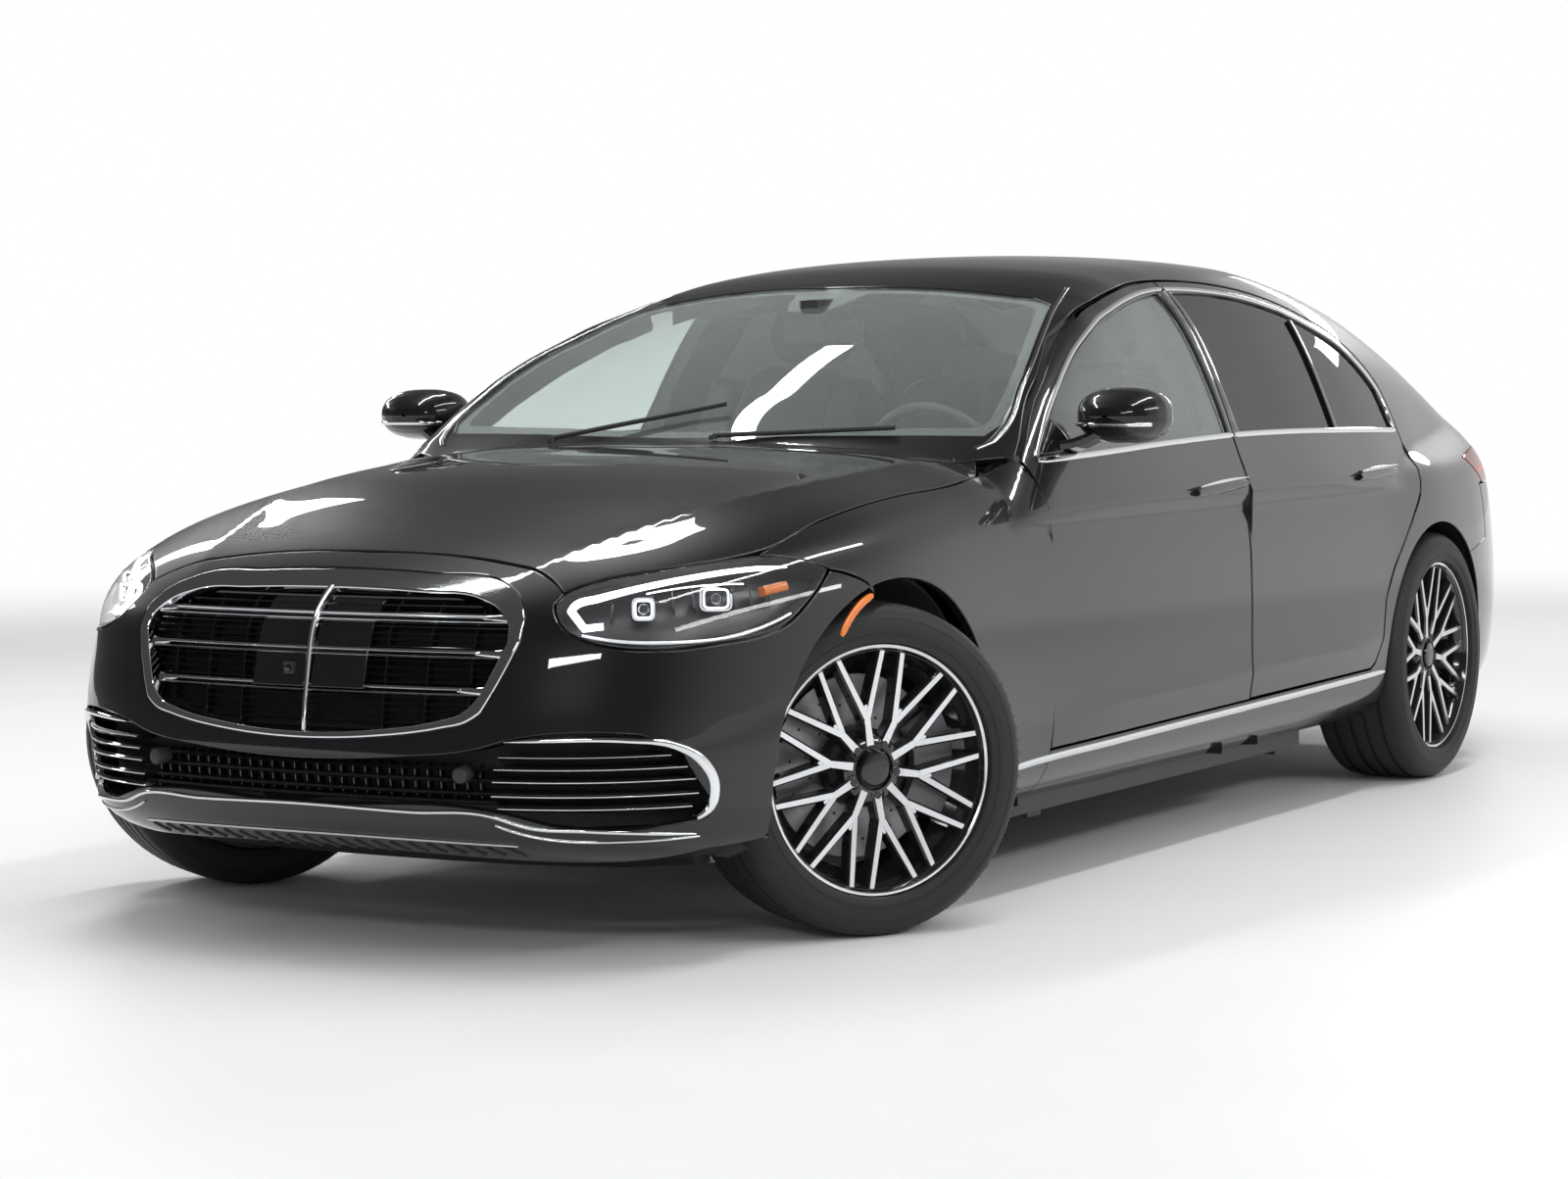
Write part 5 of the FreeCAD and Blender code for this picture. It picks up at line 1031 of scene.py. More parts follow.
half_line = [(.0, .324), (.272, .319), (.446, .317), (.520, .294), (.626, .287), (.776, .273)]
long_line = on_front([(-y, z) for y, z in half_line[::-1]] + half_line[1:], closed=False, corner=60,
                     step=.012)
strip(lines, long_line, .008, .005, taper=4)
low_line = on_front([(-.480, .253), (0, .260), (.480, .253)], closed=False, step=.02)
strip(lines, low_line, .008, .004, taper=3)
finish_part("bumper_bright_lines", lines, [CHROME], "body")
skirt = Mesh()
for i in range(22):
    y = -.46 + .0438 * i
    line = on_front([(y - .012, .246), (y + .012, .226)], closed=False, step=.01)
    sweep(skirt, line, normals_at(line), [(-.005, -.004), (-.004, .003), (.004, .003), (.005, -.004)])
for y in (.392, -.392):
    spot = on_front([(y, .398), (y, .399)], closed=False)[0]
    turned(skirt, [(-.03, .017), (.002, .017), (.006, .014), (.007, .009), (.0072, 0)], spot,
           normals_at(spot[None])[0], 28)
finish_part("front_skirt", skirt, [TRIM], "body")

# Headlamps: clear cover, dark bowl, light guide, two lenses, amber lamp and a bright lower line
INWARD = np.array([-.86, -.50, -.06])
DOWN_INTO = INWARD / np.linalg.norm(INWARD)


def in_lamp(points, depth, step=.01, corner=40):
    return near_skin(points, closed=False, step=step, corner=corner) + DOWN_INTO * depth


cover, bowl, bright, guide, amber = Mesh(), Mesh(), Mesh(), Mesh(), Mesh()
patch(cover, "nose", lamp_outline, spacing=.02, roll=.003, depth=.006, offset=.0005, back=.003)
patch(bowl, "nose", lamp_outline, spacing=.02, roll=.001, depth=.002, offset=.060)
centre = lamp_outline.mean(0)
wall_line = centre + (lamp_outline - centre) * .985
sweep(bowl, lowered(wall_line, .002), normals_at(wall_line),
      [(-.001, -.064), (-.001, 0), (.001, 0), (.001, -.064)], True)
light = [(2.090, .843, .797), (2.174, .796, .794), (2.288, .726, .780), (2.373, .662, .763),
         (2.432, .606, .745), (2.462, .574, .735), (2.476, .570, .722), (2.485, .607, .690),
         (2.464, .639, .694)]
line = in_lamp(light, .014, .006, 60)
width = np.interp(np.linspace(0, 1, len(line)), [0, .12, .6, .8, 1], [.3, .8, 1.0, 1.25, 1.1])
sweep(guide, line, -np.repeat(DOWN_INTO[None], len(line), 0), rounded(.0125, .006, .004), scale=width)
line = in_lamp([(2.372, .683, .753), (2.306, .737, .764), (2.205, .810, .768)], .022)
sweep(guide, line, -np.repeat(DOWN_INTO[None], len(line), 0), rounded(.003, .002, .002))
line = in_lamp([(2.488, .604, .673), (2.446, .684, .662), (2.375, .755, .659), (2.283, .815, .664),
                (2.195, .855, .683), (2.130, .877, .705)], .010)
sweep(bright, line, -np.repeat(DOWN_INTO[None], len(line), 0), rounded(.008, .005, .02))
for x, y, z, wide, tall in ((2.400, .693, .726, .034, .034), (2.276, .788, .742, .050, .038)):
    spot = near_skin([(x, y, z), (x, y, z + .001)], closed=False)[0] + DOWN_INTO * .030
    side_way = np.cross(DOWN_INTO, (0, 0, 1))
    side_way /= np.linalg.norm(side_way)
    up_way = np.cross(side_way, DOWN_INTO)
    corners = np.linspace(0, 2 * math.pi, 32, endpoint=False)
    shape = [(np.sign(math.cos(a)) * abs(math.cos(a)) ** .4 * wide / 2,
              np.sign(math.sin(a)) * abs(math.sin(a)) ** .4 * tall / 2)
             for a in corners]
    ring = np.array([spot + side_way * u + up_way * v for u, v in shape])
    sweep(guide, ring, -np.repeat(DOWN_INTO[None], len(ring), 0), rounded(.004, .003, .002), True)
    ring = np.array([spot + side_way * u * 1.25 + up_way * v * 1.25 for u, v in shape])
    sweep(bright, ring, -np.repeat(DOWN_INTO[None], len(ring), 0),
          [(-.002, -.03), (-.002, .004), (.002, .004), (.002, -.03)], True)
    turned(cover, [(.012, .014), (.004, .0135), (-.002, .010), (-.005, .005), (-.006, 0)],
           spot + DOWN_INTO * .002, DOWN_INTO, 28)
for i in range(9):
    f = i / 8
    start_at = np.array([2.44, .64, .700]) * (1 - f) + np.array([2.17, .845, .722]) * f
    line = in_lamp([tuple(start_at), tuple(start_at + (-.004, .002, .045))], .050)
    sweep(bright, line, -np.repeat(DOWN_INTO[None], len(line), 0),
          [(-.0015, -.02), (-.0015, .004), (.0015, .004), (.0015, -.02)], slot=1)
line = in_lamp([(2.176, .838, .752), (2.120, .862, .762)], .018)
sweep(amber, line, -np.repeat(DOWN_INTO[None], len(line), 0), rounded(.020, .008, .012))
build("headlamp_covers", both_sides(cover), [LAMP_GLASS], "body", ["headlamps"], custom=True)
finish_part("headlamp_bowls", both_sides(bowl), [LAMP_DARK], "body")
finish_part("headlamp_bright_parts", both_sides(bright), [CHROME, GLOSS_BLACK], "body")
finish_part("headlamp_light_guides", both_sides(guide), [LIGHT_GUIDE], "body")
finish_part("headlamp_indicators", both_sides(amber), [AMBER], "body")

# Side markers on the bumper's corners
marker = Mesh()
line = near_skin([(1.889, .934, .729), (1.932, .931, .712), (1.968, .927, .685), (1.996, .923, .652)],
                 closed=False, step=.006)
strip(marker, line, .016, .003, taper=3)
finish_part("side_markers", both_sides(marker), [AMBER], "body")

# Side glass, bright window surrounds, posts, handles and sill strips
FRAME_FRONT = [(1.002, .994), (.942, 1.041), (.848, 1.108), (.743, 1.169), (.635, 1.222), (.520, 1.267),
               (.403, 1.306), (.246, 1.343), (.096, 1.372), (-.060, 1.392), (-.146, 1.398)]
FRAME_REAR = [(-.162, 1.398), (-.352, 1.397), (-.646, 1.377), (-.987, 1.311), (-1.216, 1.230),
              (-1.318, 1.150), (-1.345, 1.105), (-1.351, 1.035), (-1.348, 1.014)]
BELT_FRONT = [(1.006, .986), (.693, .996), (.379, 1.008), (.100, 1.016), (-.094, 1.0205)]
BELT_REAR = [(-.104, 1.0205), (-.500, 1.021), (-.900, 1.015), (-1.348, 1.006)]
POST_FRONT = [(-.074, 1.026), (-.098, 1.026), (-.128, 1.200), (-.150, 1.390), (-.108, 1.390), (-.096, 1.200)]
POST_REAR = [(-.102, 1.026), (-.144, 1.026), (-.164, 1.200), (-.180, 1.390), (-.156, 1.390), (-.134, 1.200)]

front_glass = patch(Mesh(), "wrap", on_side([(x, z) for x, z in FRONT_WINDOW]), spacing=.03, roll=.0006,
                    depth=.004, offset=.007, back=.005)
rear_glass = patch(Mesh(), "wrap", on_side([(x, z) for x, z in REAR_WINDOW]), spacing=.03, roll=.0006,
                   depth=.004, offset=.007, back=.005)
front_bright, rear_bright = Mesh(), Mesh()
strip(front_bright, on_side(FRAME_FRONT, closed=False, step=.012), .015, .004, taper=2)
strip(front_bright, on_side(BELT_FRONT, closed=False, step=.015), .015, .0045, taper=2)
strip(rear_bright, on_side(FRAME_REAR, closed=False, step=.012), .015, .004, taper=2)
strip(rear_bright, on_side(BELT_REAR, closed=False, step=.015), .015, .0045, taper=2)
front_black, rear_black = Mesh(), Mesh()
patch(front_black, "wrap", on_side(POST_FRONT), spacing=.02, roll=.001, depth=.002, offset=-.0012)
patch(rear_black, "wrap", on_side(POST_REAR), spacing=.02, roll=.001, depth=.002, offset=-.0012)
strip(rear_black, on_side([(-.826, 1.020), (-.872, 1.318)], closed=False, step=.02), .024, .002, sink=.006)
HANDLES = (("front", (.262, .884), (-.052, .897)), ("rear", (-.846, .886), (-1.170, .894)))
grips = {}
for end, first, last in HANDLES:
    grip = Mesh()
    points = [(first[0] + (last[0] - first[0]) * f,
               first[1] + (last[1] - first[1]) * f + .003 * math.sin(math.pi * f))
              for f in np.linspace(0, 1, 9)]
    line = on_side(points, closed=False, step=.008)
    width = np.sin(np.linspace(.12, math.pi - .12, len(line))) ** .35
    sweep(grip, line, normals_at(line), rounded(.032, .014, .004), scale=width)
    upper = on_side([(x, z + .0105) for x, z in points], closed=False, step=.008)
    width = np.sin(np.linspace(.25, math.pi - .05, len(upper))) ** .5
    sweep(grip, upper, normals_at(upper), rounded(.0125, .020, .002), scale=width, slot=1)
    grips[end] = grip

MIRROR_SIZES = [(.735, .088, .044, 1.000, 1.086), (.740, .104, .056, 1.001, 1.086),
                (.752, .113, .063, 1.002, 1.086), (.775, .116, .066, 1.004, 1.0865),
                (.805, .114, .065, 1.006, 1.087), (.835, .104, .059, 1.008, 1.087),
                (.860, .088, .048, 1.008, 1.0865), (.878, .066, .034, 1.006, 1.086),
                (.889, .038, .019, 1.004, 1.086), (.892, .006, .003, 1.002, 1.086)]
housing = Mesh()
angles = np.linspace(0, 2 * math.pi, 48, endpoint=False)
stations = np.linspace(0, len(MIRROR_SIZES) - 1, 37)
table = np.array(MIRROR_SIZES)
smooth_table = np.stack([np.interp(stations, range(len(table)), table[:, k]) for k in range(5)], 1)
verts = []
for x, ry, rz, cy, cz in smooth_table:
    for a in angles:
        verts.append((x, cy + ry * np.sign(math.cos(a)) * abs(math.cos(a)) ** .8,
                      cz + rz * np.sign(math.sin(a)) * abs(math.sin(a)) ** .8))
count = len(angles)
housing.add(verts, [(i * count + k, i * count + (k + 1) % count, (i + 1) * count + (k + 1) % count,
                     (i + 1) * count + k)
                    for i in range(len(smooth_table) - 1) for k in range(count)])
x, ry, rz, cy, cz = table[0]
rim_ring = np.array([(x - .001, cy + ry * .96 * math.cos(a), cz + rz * .96 * math.sin(a)) for a in angles])
housing.add(np.concatenate([rim_ring, [(x - .001, cy, cz)]]),
            [(k, (k + 1) % count, count) for k in range(count)], slot=1)
sweep(housing, rim_ring, np.repeat(np.array([[-1.0, 0, 0]]), count, 0), rounded(.010, .003, .004), True, 2)
blade = []
for f in np.linspace(0, 1, 34):
    y_part = -1 + 2 * f
    z_part = -.34
    room = max(1 - abs(y_part) ** 2.5 - abs(z_part) ** 2.5, 0) ** .4
    blade.append((.790 + .098 * room ** .8, 1.006 + .108 * y_part, 1.086 + .058 * z_part))
blade = np.array(blade)[2:-2]
way = np.stack([np.full(len(blade), 1.0), (blade[:, 1] - 1.006) * 7, np.full(len(blade), -.2)], 1)
way /= np.linalg.norm(way, axis=1)[:, None]
sweep(housing, blade, way, rounded(.009, .0035, .006), slot=3)
arm = np.array([(.868, .872, 1.010), (.850, .900, 1.016), (.836, .930, 1.028), (.826, .962, 1.046)])
sweep(housing, arm, np.repeat(np.array([[0.0, -.5, .85]]), 4, 0),
      [(-.032, -.012), (-.036, 0), (-.026, .012), (.026, .012), (.036, 0), (.032, -.012)], slot=2)
foot_plate = on_side([(.985, .999), (.934, 1.033), (.868, 1.079), (.846, 1.050), (.826, 1.006)], step=.01)
patch(housing, "wrap", foot_plate, spacing=.02, roll=.003, depth=.006, offset=-.001, slot=2)

DOOR_GLASS = (("front", front_glass, GLASS, front_bright, front_black),
              ("rear", rear_glass, DARK_GLASS, rear_bright, rear_black))
for side, turn in (("left", 1), ("right", -1)):
    for end, glass_mesh, finish, bright_mesh, black_mesh in DOOR_GLASS:
        door = "door_%s_%s" % (end, side)

        def sided(mesh):
            if turn > 0:
                return mesh
            twin = Mesh()
            twin.add_mirrored(mesh)
            return twin
        build("glass_" + door, sided(glass_mesh), [finish], door,
              ["door_glass_%s_%s" % (end, side)])
        finish_part("bright_" + door, sided(bright_mesh), [CHROME], door)
        finish_part("black_" + door, sided(black_mesh), [GLOSS_BLACK], door)
        finish_part("handle_" + door, sided(grips[end]), [PAINT, CHROME], door)
    finish_part("mirror_housing_" + side, sided(housing), [PAINT, MIRROR, GLOSS_BLACK, CHROME],
                "door_front_" + side, ["mirror_" + side], 50)
sills = Mesh()
line = on_side([(1.355, .290), (1.250, .297), (.669, .311), (-.047, .322), (-.893, .336), (-1.030, .339)],
               closed=False, step=.02)
strip(sills, line, .018, .006, taper=2)
finish_part("sill_strips", both_sides(sills), [CHROME], "body")

# Windscreen: black edge, sensor housing, mirror and bright side lines
edging = Mesh()
inner_edge = top_from(shrunk(top_to(screen), .034))
patch(edging, "top", screen, [inner_edge], spacing=.03, roll=.0005, depth=.001, offset=.0102)
patch(edging, "top", on_top([(.372, .110), (.372, -.110), (.470, -.085), (.530, -.060), (.545, 0),
                             (.530, .060), (.470, .085)],
                            step=.012), spacing=.02, roll=.001, depth=.002, offset=.0106)
inner_back = top_from(shrunk(top_to(backlight), .030))
patch(edging, "top", backlight, [inner_back], spacing=.03, roll=.0005, depth=.001, offset=.0102)
build("glass_edging", edging, [GLOSS_BLACK], "body")
side_lines = Mesh()
SEAL_LINE = [(.222, .586, 1.397), (.401, .634, 1.341), (.535, .676, 1.293), (.743, .741, 1.204),
             (.847, .766, 1.147), (.974, .793, 1.063), (1.031, .784, 1.028), (1.065, .759, 1.013)]
line = near_skin(SEAL_LINE, closed=False, step=.012)
strip(side_lines, line, .007, .0030, taper=6)
strip(side_lines, near_skin([(x, y - .010, z) for x, y, z in SEAL_LINE], closed=False, step=.012), .010,
      .0025, slot=1, taper=6)
finish_part("windscreen_side_lines", both_sides(side_lines), [CHROME, GLOSS_BLACK], "body")
pillar_trim = Mesh()
line = np.array([(1.000, .800, .970), (.900, .785, 1.040), (.760, .747, 1.130), (.600, .700, 1.215),
                 (.440, .655, 1.282), (.300, .620, 1.328)])
sweep(pillar_trim, line, (-.25, -.9, .15), [(-.026, -.020), (-.030, 0), (-.018, .010), (.018, .010),
                                            (.030, 0), (.026, -.020)])
finish_part("pillar_trims", both_sides(pillar_trim), [TRIM], "body")
inside_mirror = Mesh()
block(inside_mirror, (.440, -.036, 1.345), (.520, .036, 1.372), 0, .012)
block(inside_mirror, (.430, -.115, 1.262), (.452, .115, 1.322), 0, .008)
block(inside_mirror, (.442, -.012, 1.300), (.460, .012, 1.350), 0, .004)
block(inside_mirror, (.4285, -.108, 1.268), (.4300, .108, 1.316), 1)
finish_part("inside_mirror", inside_mirror, [TRIM, MIRROR], "body")

# Wheels: tyre with tread grooves, machined spokes over black pockets, bolts and a plain cap
WHEELS = (("front", "left", 1, FRONT_AXLE, .830, .1275, -31, .198),
          ("front", "right", -1, FRONT_AXLE, .830, .1275, -31, .198),
          ("rear", "left", 1, REAR_AXLE, .838, .1375, 0, .180),
          ("rear", "right", -1, REAR_AXLE, .838, .1375, 0, .180))


def tyre_mesh(half):
    """Tyre about the y axis, its tread cut by four grooves and side slots."""
    mesh = Mesh()
    w = half
    tread = [(-.88, .344), (-.80, .3515), (-.70, .3535), (-.56, .3550), (-.555, .3480), (-.475, .3480),
             (-.47, .3555), (-.20, .3560), (-.195, .3490), (-.115, .3490), (-.11, .3560), (.11, .3560),
             (.115, .3490), (.195, .3490), (.20, .3560), (.47, .3555), (.475, .3480), (.555, .3480),
             (.56, .3550), (.70, .3535), (.80, .3515), (.88, .344)]
    side = [(.93, .337), (.97, .327), (.992, .316), (1.0, .305), (.998, .294), (.99, .286), (.985, .2855),
            (.975, .279), (.955, .272), (.90, .2695), (.83, .2700), (.80, .2660), (.80, .2540)]
    profile = [(-a, r) for a, r in side[::-1]] + tread + side
    turned(mesh, [(a * w, r) for a, r in profile], (0, 0, 0), (0, 1, 0), 128)
    slots = 84
    for i in range(slots):
        a = 2 * math.pi * i / slots
        for q in (-1, 1):
            for low, high, lean in ((.575, .86, .010), (.225, .455, -.014)):
                u = np.array([math.cos(a), 0, math.sin(a)])
                v = np.array([-math.sin(a), 0, math.cos(a)])
                r0, r1 = .3557, (.3505 if high > .8 else .3559)
                p0 = np.array([0, q * low * w, 0]) + u * r0
                p1 = np.array([0, q * high * w, 0]) + u * r1 + v * lean
                quad = [p0 - v * .0009 + u * .0003, p0 + v * .0009 + u * .0003, p1 + v * .0009 + u * .0003,
                        p1 - v * .0009 + u * .0003]
                mesh.add(quad, [(0, 1, 2, 3)], slot=1)
    for r, depth in ((.3225, .0008), (.2905, .0010)):
        at = float(np.interp(r, [.286, .294, .305, .316, .327], [.99, .998, 1.0, .992, .97])) * w
        for q in (-1, 1):
            turned(mesh, [(q * (at - .0012), r - .0016), (q * (at + depth), r - .0007),
                          (q * (at + depth), r + .0007), (q * (at - .0012), r + .0016)], (0, 0, 0),
                   (0, 1, 0), 96)
    return mesh


def tapered(mesh, a, b, half_a, half_b, face_a, face_b, thick, chamfer, slots=(0, 1)):
    """Spoke from a to b in the (x, z) plane: machined front face, chamfered black flanks."""
    a, b = np.array(a, float), np.array(b, float)
    d = (b - a) / np.linalg.norm(b - a)
    n = np.array([-d[1], d[0]])
    rings = []
    for p, half, face in ((a, half_a, face_a), (b, half_b, face_b)):
        ring = [(half, 0), (-half, 0), (-half - chamfer, -chamfer * 1.2), (-half - chamfer * 1.6, -thick),
                (half + chamfer * 1.6, -thick), (half + chamfer, -chamfer * 1.2)]
        rings.append([(p[0] + n[0] * u, face + v, p[1] + n[1] * u) for u, v in ring])
    verts = rings[0] + rings[1]
    mesh.add(verts, [(0, 1, 7, 6)], slot=slots[0])
    mesh.add(verts, [(1, 2, 8, 7), (2, 3, 9, 8), (3, 4, 10, 9), (4, 5, 11, 10), (5, 0, 6, 11),
                     (0, 5, 4, 3, 2, 1), (6, 7, 8, 9, 10, 11)], slot=slots[1])


def rim_mesh(half):
    mesh = Mesh()
    w = half * .80
    face = w - .010
    barrel = [(-w - .010, .267), (-w, .2655), (-w, .2525), (-w + .040, .2525), (-w + .060, .226),
              (w - .070, .226), (w - .040, .2515), (w - .012, .2525), (w - .001, .2535), (w, .2640)]
    turned(mesh, barrel, (0, 0, 0), (0, 1, 0), 96, 1)
    turned(mesh, [(w, .2640), (w + .006, .2675), (w + .010, .2665), (w + .010, .2620), (w + .0085, .2600)],
           (0, 0, 0), (0, 1, 0), 128, 0)
    turned(mesh, [(w + .0085, .2600), (w + .002, .2560), (w - .012, .2480), (w - .045, .2440),
                  (w - .072, .2170), (-w + .062, .2170), (-w + .040, .2380), (-w - .010, .2420),
                  (-w - .010, .267)], (0, 0, 0), (0, 1, 0), 96, 1)
    turned(mesh, [(.038, .070), (face - .026, .074), (face - .014, .070), (face - .008, .060),
                  (face - .006, .046)],
           (0, 0, 0), (0, 1, 0), 60, 1)
    turned(mesh, [(face - .006, .046), (face - .016, .044), (face - .018, .036)], (0, 0, 0), (0, 1, 0), 60,
           1)
    turned(mesh, [(face - .018, .036), (face - .004, .0355), (face - .001, .033), (face + .0005, .028),
                  (face + .001, .014), (face + .001, 0)], (0, 0, 0), (0, 1, 0), 60, 2)
    for i in range(10):
        a = 2 * math.pi * (i + .25) / 10

        def at(radius, shift=0.0, a=a):
            return (radius * math.cos(a) - shift * math.sin(a), radius * math.sin(a) + shift * math.cos(a))
        tapered(mesh, at(.048), at(.120), .0085, .0065, face - .007, face - .003, .030, .004)
        for q in (1, -1):
            tapered(mesh, at(.112, q * .002), at(.2545, q * .057), .0062, .0052, face - .003, face + .007,
                    .030, .004)
        tapered(mesh, at(.100), at(.140), .0078, .0030, face - .0042, face - .0018, .022, .003)
    for i in range(5):
        a = 2 * math.pi * (i + .5) / 5 + .157
        spot = (.0565 * math.cos(a), 0, .0565 * math.sin(a))
        turned(mesh, [(face - .022, .0105), (face - .007, .0100), (face - .0045, .0085), (face - .0045, .0)],
               (spot[0], 0, spot[2]), (0, 1, 0), 6, 3)
        turned(mesh, [(face - .0065, .0165), (face - .0055, .0150), (face - .0145, .0125)],
               (spot[0], 0, spot[2]), (0, 1, 0), 24, 1)
    a = math.radians(112)
    valve = (.232 * math.cos(a), 0, .232 * math.sin(a))
    turned(mesh, [(w - .060, .004), (w - .030, .004), (w - .028, .0), ], valve, (0, 1, 0), 10, 3)
    return mesh


def disc_mesh(radius):
    mesh = Mesh()
    turned(mesh, [(.0025, .088), (.0025, radius - .001), (.0015, radius), (-.0215, radius),
                  (-.0225, radius - .001), (-.0225, .090)], (0, 0, 0), (0, 1, 0), 96, 0)
    turned(mesh, [(-.020, .088), (.040, .086), (.045, .082), (.046, .075), (.046, .030)], (0, 0, 0),
           (0, 1, 0), 60, 1)
    # Dark dots painted on the disc's face where the drilled holes are: painted shade standing in for the
    # holes, which are not cut into the disc
    for i in range(14):
        for r in (.112, .136, .160):
            if r > radius - .02:
                continue
            a = 2 * math.pi * (i + r * 14) / 14
            spot = np.array([r * math.cos(a), .0027, r * math.sin(a)])
            turned(mesh, [(0, .0034), (.0001, 0)], spot, (0, 1, 0), 12, 2)
    return mesh


def wheel_place(mesh, x, y, turn_sign, angle):
    """Mesh in wheel axes, y outboard, brought to its place on the car."""
    placed = Mesh()
    if turn_sign > 0:
        placed.join(mesh)
    else:
        placed.add_mirrored(mesh)
    c, s = math.cos(math.radians(angle)), math.sin(math.radians(angle))
    placed.verts = [(x + c * vx - s * vy, turn_sign * y + s * vx + c * vy, AXLE_HEIGHT + vz) for vx, vy,
                    vz in placed.verts]
    return placed


for end, side, sign, x, y, half, angle, disc_radius in WHEELS:
    where = "%s_%s" % (end, side)
    body = "wheel_" + where
    finish_part("tyre_tread_" + where, wheel_place(tyre_mesh(half), x, y, sign, angle), [RUBBER, SEAL],
                body, ["tyre_" + where], 30)
    finish_part("rim_spokes_" + where, wheel_place(rim_mesh(half), x, y, sign, angle),
                [ALLOY, POCKET, GLOSS_BLACK, DARK_METAL], body, ["rim_" + where], 24)
    finish_part("disc_face_" + where, wheel_place(disc_mesh(disc_radius), x, y, sign, angle),
                [DISC, DARK_METAL, SEAL], body, ["brake_disc_" + where], 30)

# Tail: red lamps round the corners and on the lid, bright strip, diffuser and pipe surrounds
tail = Mesh()
lamp_low = on_tail([(1.235, .838), (1.090, .836), (.900, .832), (.750, .829), (.630, .828)], closed=False,
                   corner=30)
lamp_in = on_tail([(.630, .828), (.632, .880), (.638, .937)], closed=False)
lamp_up = on_tail([(.638, .937), (.747, .938), (.850, .941), (.960, .942), (1.110, .936), (1.323, .914)],
                  closed=False, corner=30)
lamp_front = on_tail([(1.323, .914), (1.235, .838)], closed=False)
tail_outline = np.concatenate([lamp_low[:-1], lamp_in[:-1], lamp_up[:-1], lamp_front[:-1]])
patch(tail, "tail", tail_outline, spacing=.018, roll=.003, depth=.02, offset=-.0015)
glow = on_tail([(1.240, .872), (1.090, .882), (.900, .886), (.670, .888)], closed=False, step=.012)
sweep(tail, glow, normals_at(glow), rounded(.010, .0015, .002), slot=1)
glow = on_tail([(1.215, .853), (1.090, .852), (.900, .850), (.660, .848)], closed=False, step=.012)
sweep(tail, glow, normals_at(glow), rounded(.004, .0012, .002), slot=2)
build("tail_lamp_covers", both_sides(tail), [RED, RED_GLOW, CHROME], "body", ["tail_lamps"],
      custom=False)
lid_lamps = Mesh()
LID_LENS = [(.600, .848), (.600, .926), (.520, .929), (.430, .925), (.347, .911), (.333, .889),
            (.362, .861), (.450, .850)]
patch(lid_lamps, "tail", on_rear(LID_LENS, step=.008, corner=45), spacing=.018, roll=.003, depth=.01,
      offset=-.0015)
glow = on_rear([(.590, .888), (.480, .890), (.380, .886)], closed=False, step=.012)
sweep(lid_lamps, glow, normals_at(glow), rounded(.010, .0015, .002), slot=1)
build("lid_lamp_covers", both_sides(lid_lamps), [RED, RED_GLOW], "trunk_lid", ["lid_lamps"],
      custom=False)
lid_trim = Mesh()
line = on_rear([(-.372, .932), (0, .9345), (.372, .932)], closed=False, step=.02)
strip(lid_trim, line, .014, .005, taper=4)
plate_frame = on_rear([(-.268, .759), (-.268, .911), (.268, .911), (.268, .759)], step=.02, corner=20)
strip(lid_trim, plate_frame, .006, .002, closed=True, slot=1)
for y in (-.12, .12):
    block(lid_trim, (-2.5895, y - .03, .893), (-2.5700, y + .03, .906), 1, .003)
block(lid_trim, (-2.570, -PLATE[0] - .004, PLATE[1] - .004), (-2.562, PLATE[0] + .004, PLATE[2] + .004), 2)
finish_part("lid_bright_strip", lid_trim, [CHROME, GLOSS_BLACK, TRIM], "trunk_lid")
tail_low = Mesh()
DIFFUSER = [(0, .430), (.420, .425), (.560, .395), (.720, .350), (.735, .240), (.600, .222), (0, .220)]
PIPE = [(.545, .302), (.695, .302), (.692, .240), (.560, .240)]
patch(tail_low, "tail", on_rear(whole_front(DIFFUSER), step=.012),
      [on_rear(PIPE, step=.008, corner=95), on_rear([(-y, z) for y, z in PIPE], step=.008, corner=95)],
      spacing=.024, roll=.002, depth=.004, offset=-.0015)
for z in (.392, .360, .332):
    line = on_rear([(-.50, z), (.50, z)], closed=False, step=.03)
    sweep(tail_low, line, normals_at(line), [(-.004, -.002), (-.003, .006), (.003, .006), (.004, -.002)])
for y in (-.40, -.24, .24, .40):
    line = on_rear([(y, .315), (y, .232)], closed=False, step=.02)
    sweep(tail_low, line, normals_at(line), [(-.005, -.002), (-.004, .008), (.004, .008), (.005, -.002)])
build("rear_diffuser", tail_low, [TRIM], "body", custom=False)
tips = Mesh()
for q in (1, -1):
    ring = on_rear([(q * y, z) for y, z in PIPE], step=.008, corner=95)
    strip(tips, ring, .011, .006, closed=True)
    sweep(tips, lowered(ring, .03), normals_at(ring), [(-.0015, -.06), (-.0015, .03), (.0015, .03),
                                                       (.0015, -.06)], True, 1)
line = on_rear([(-.745, .365), (-.560, .412), (-.420, .440), (.420, .440), (.560, .412), (.745, .365)],
               closed=False, step=.02)
strip(tips, line, .008, .004, taper=4)
finish_part("pipe_surrounds", tips, [CHROME, DARK_METAL], "body")
reflectors = Mesh()
line = near_skin([(-2.330, .842, .450), (-2.430, .770, .446), (-2.500, .690, .443)], closed=False, step=.012)
strip(reflectors, line, .022, .0025, taper=2)
finish_part("rear_reflectors", both_sides(reflectors), [RED], "body")

# Seats: crowned cushions with sunk seams, one padded piece each

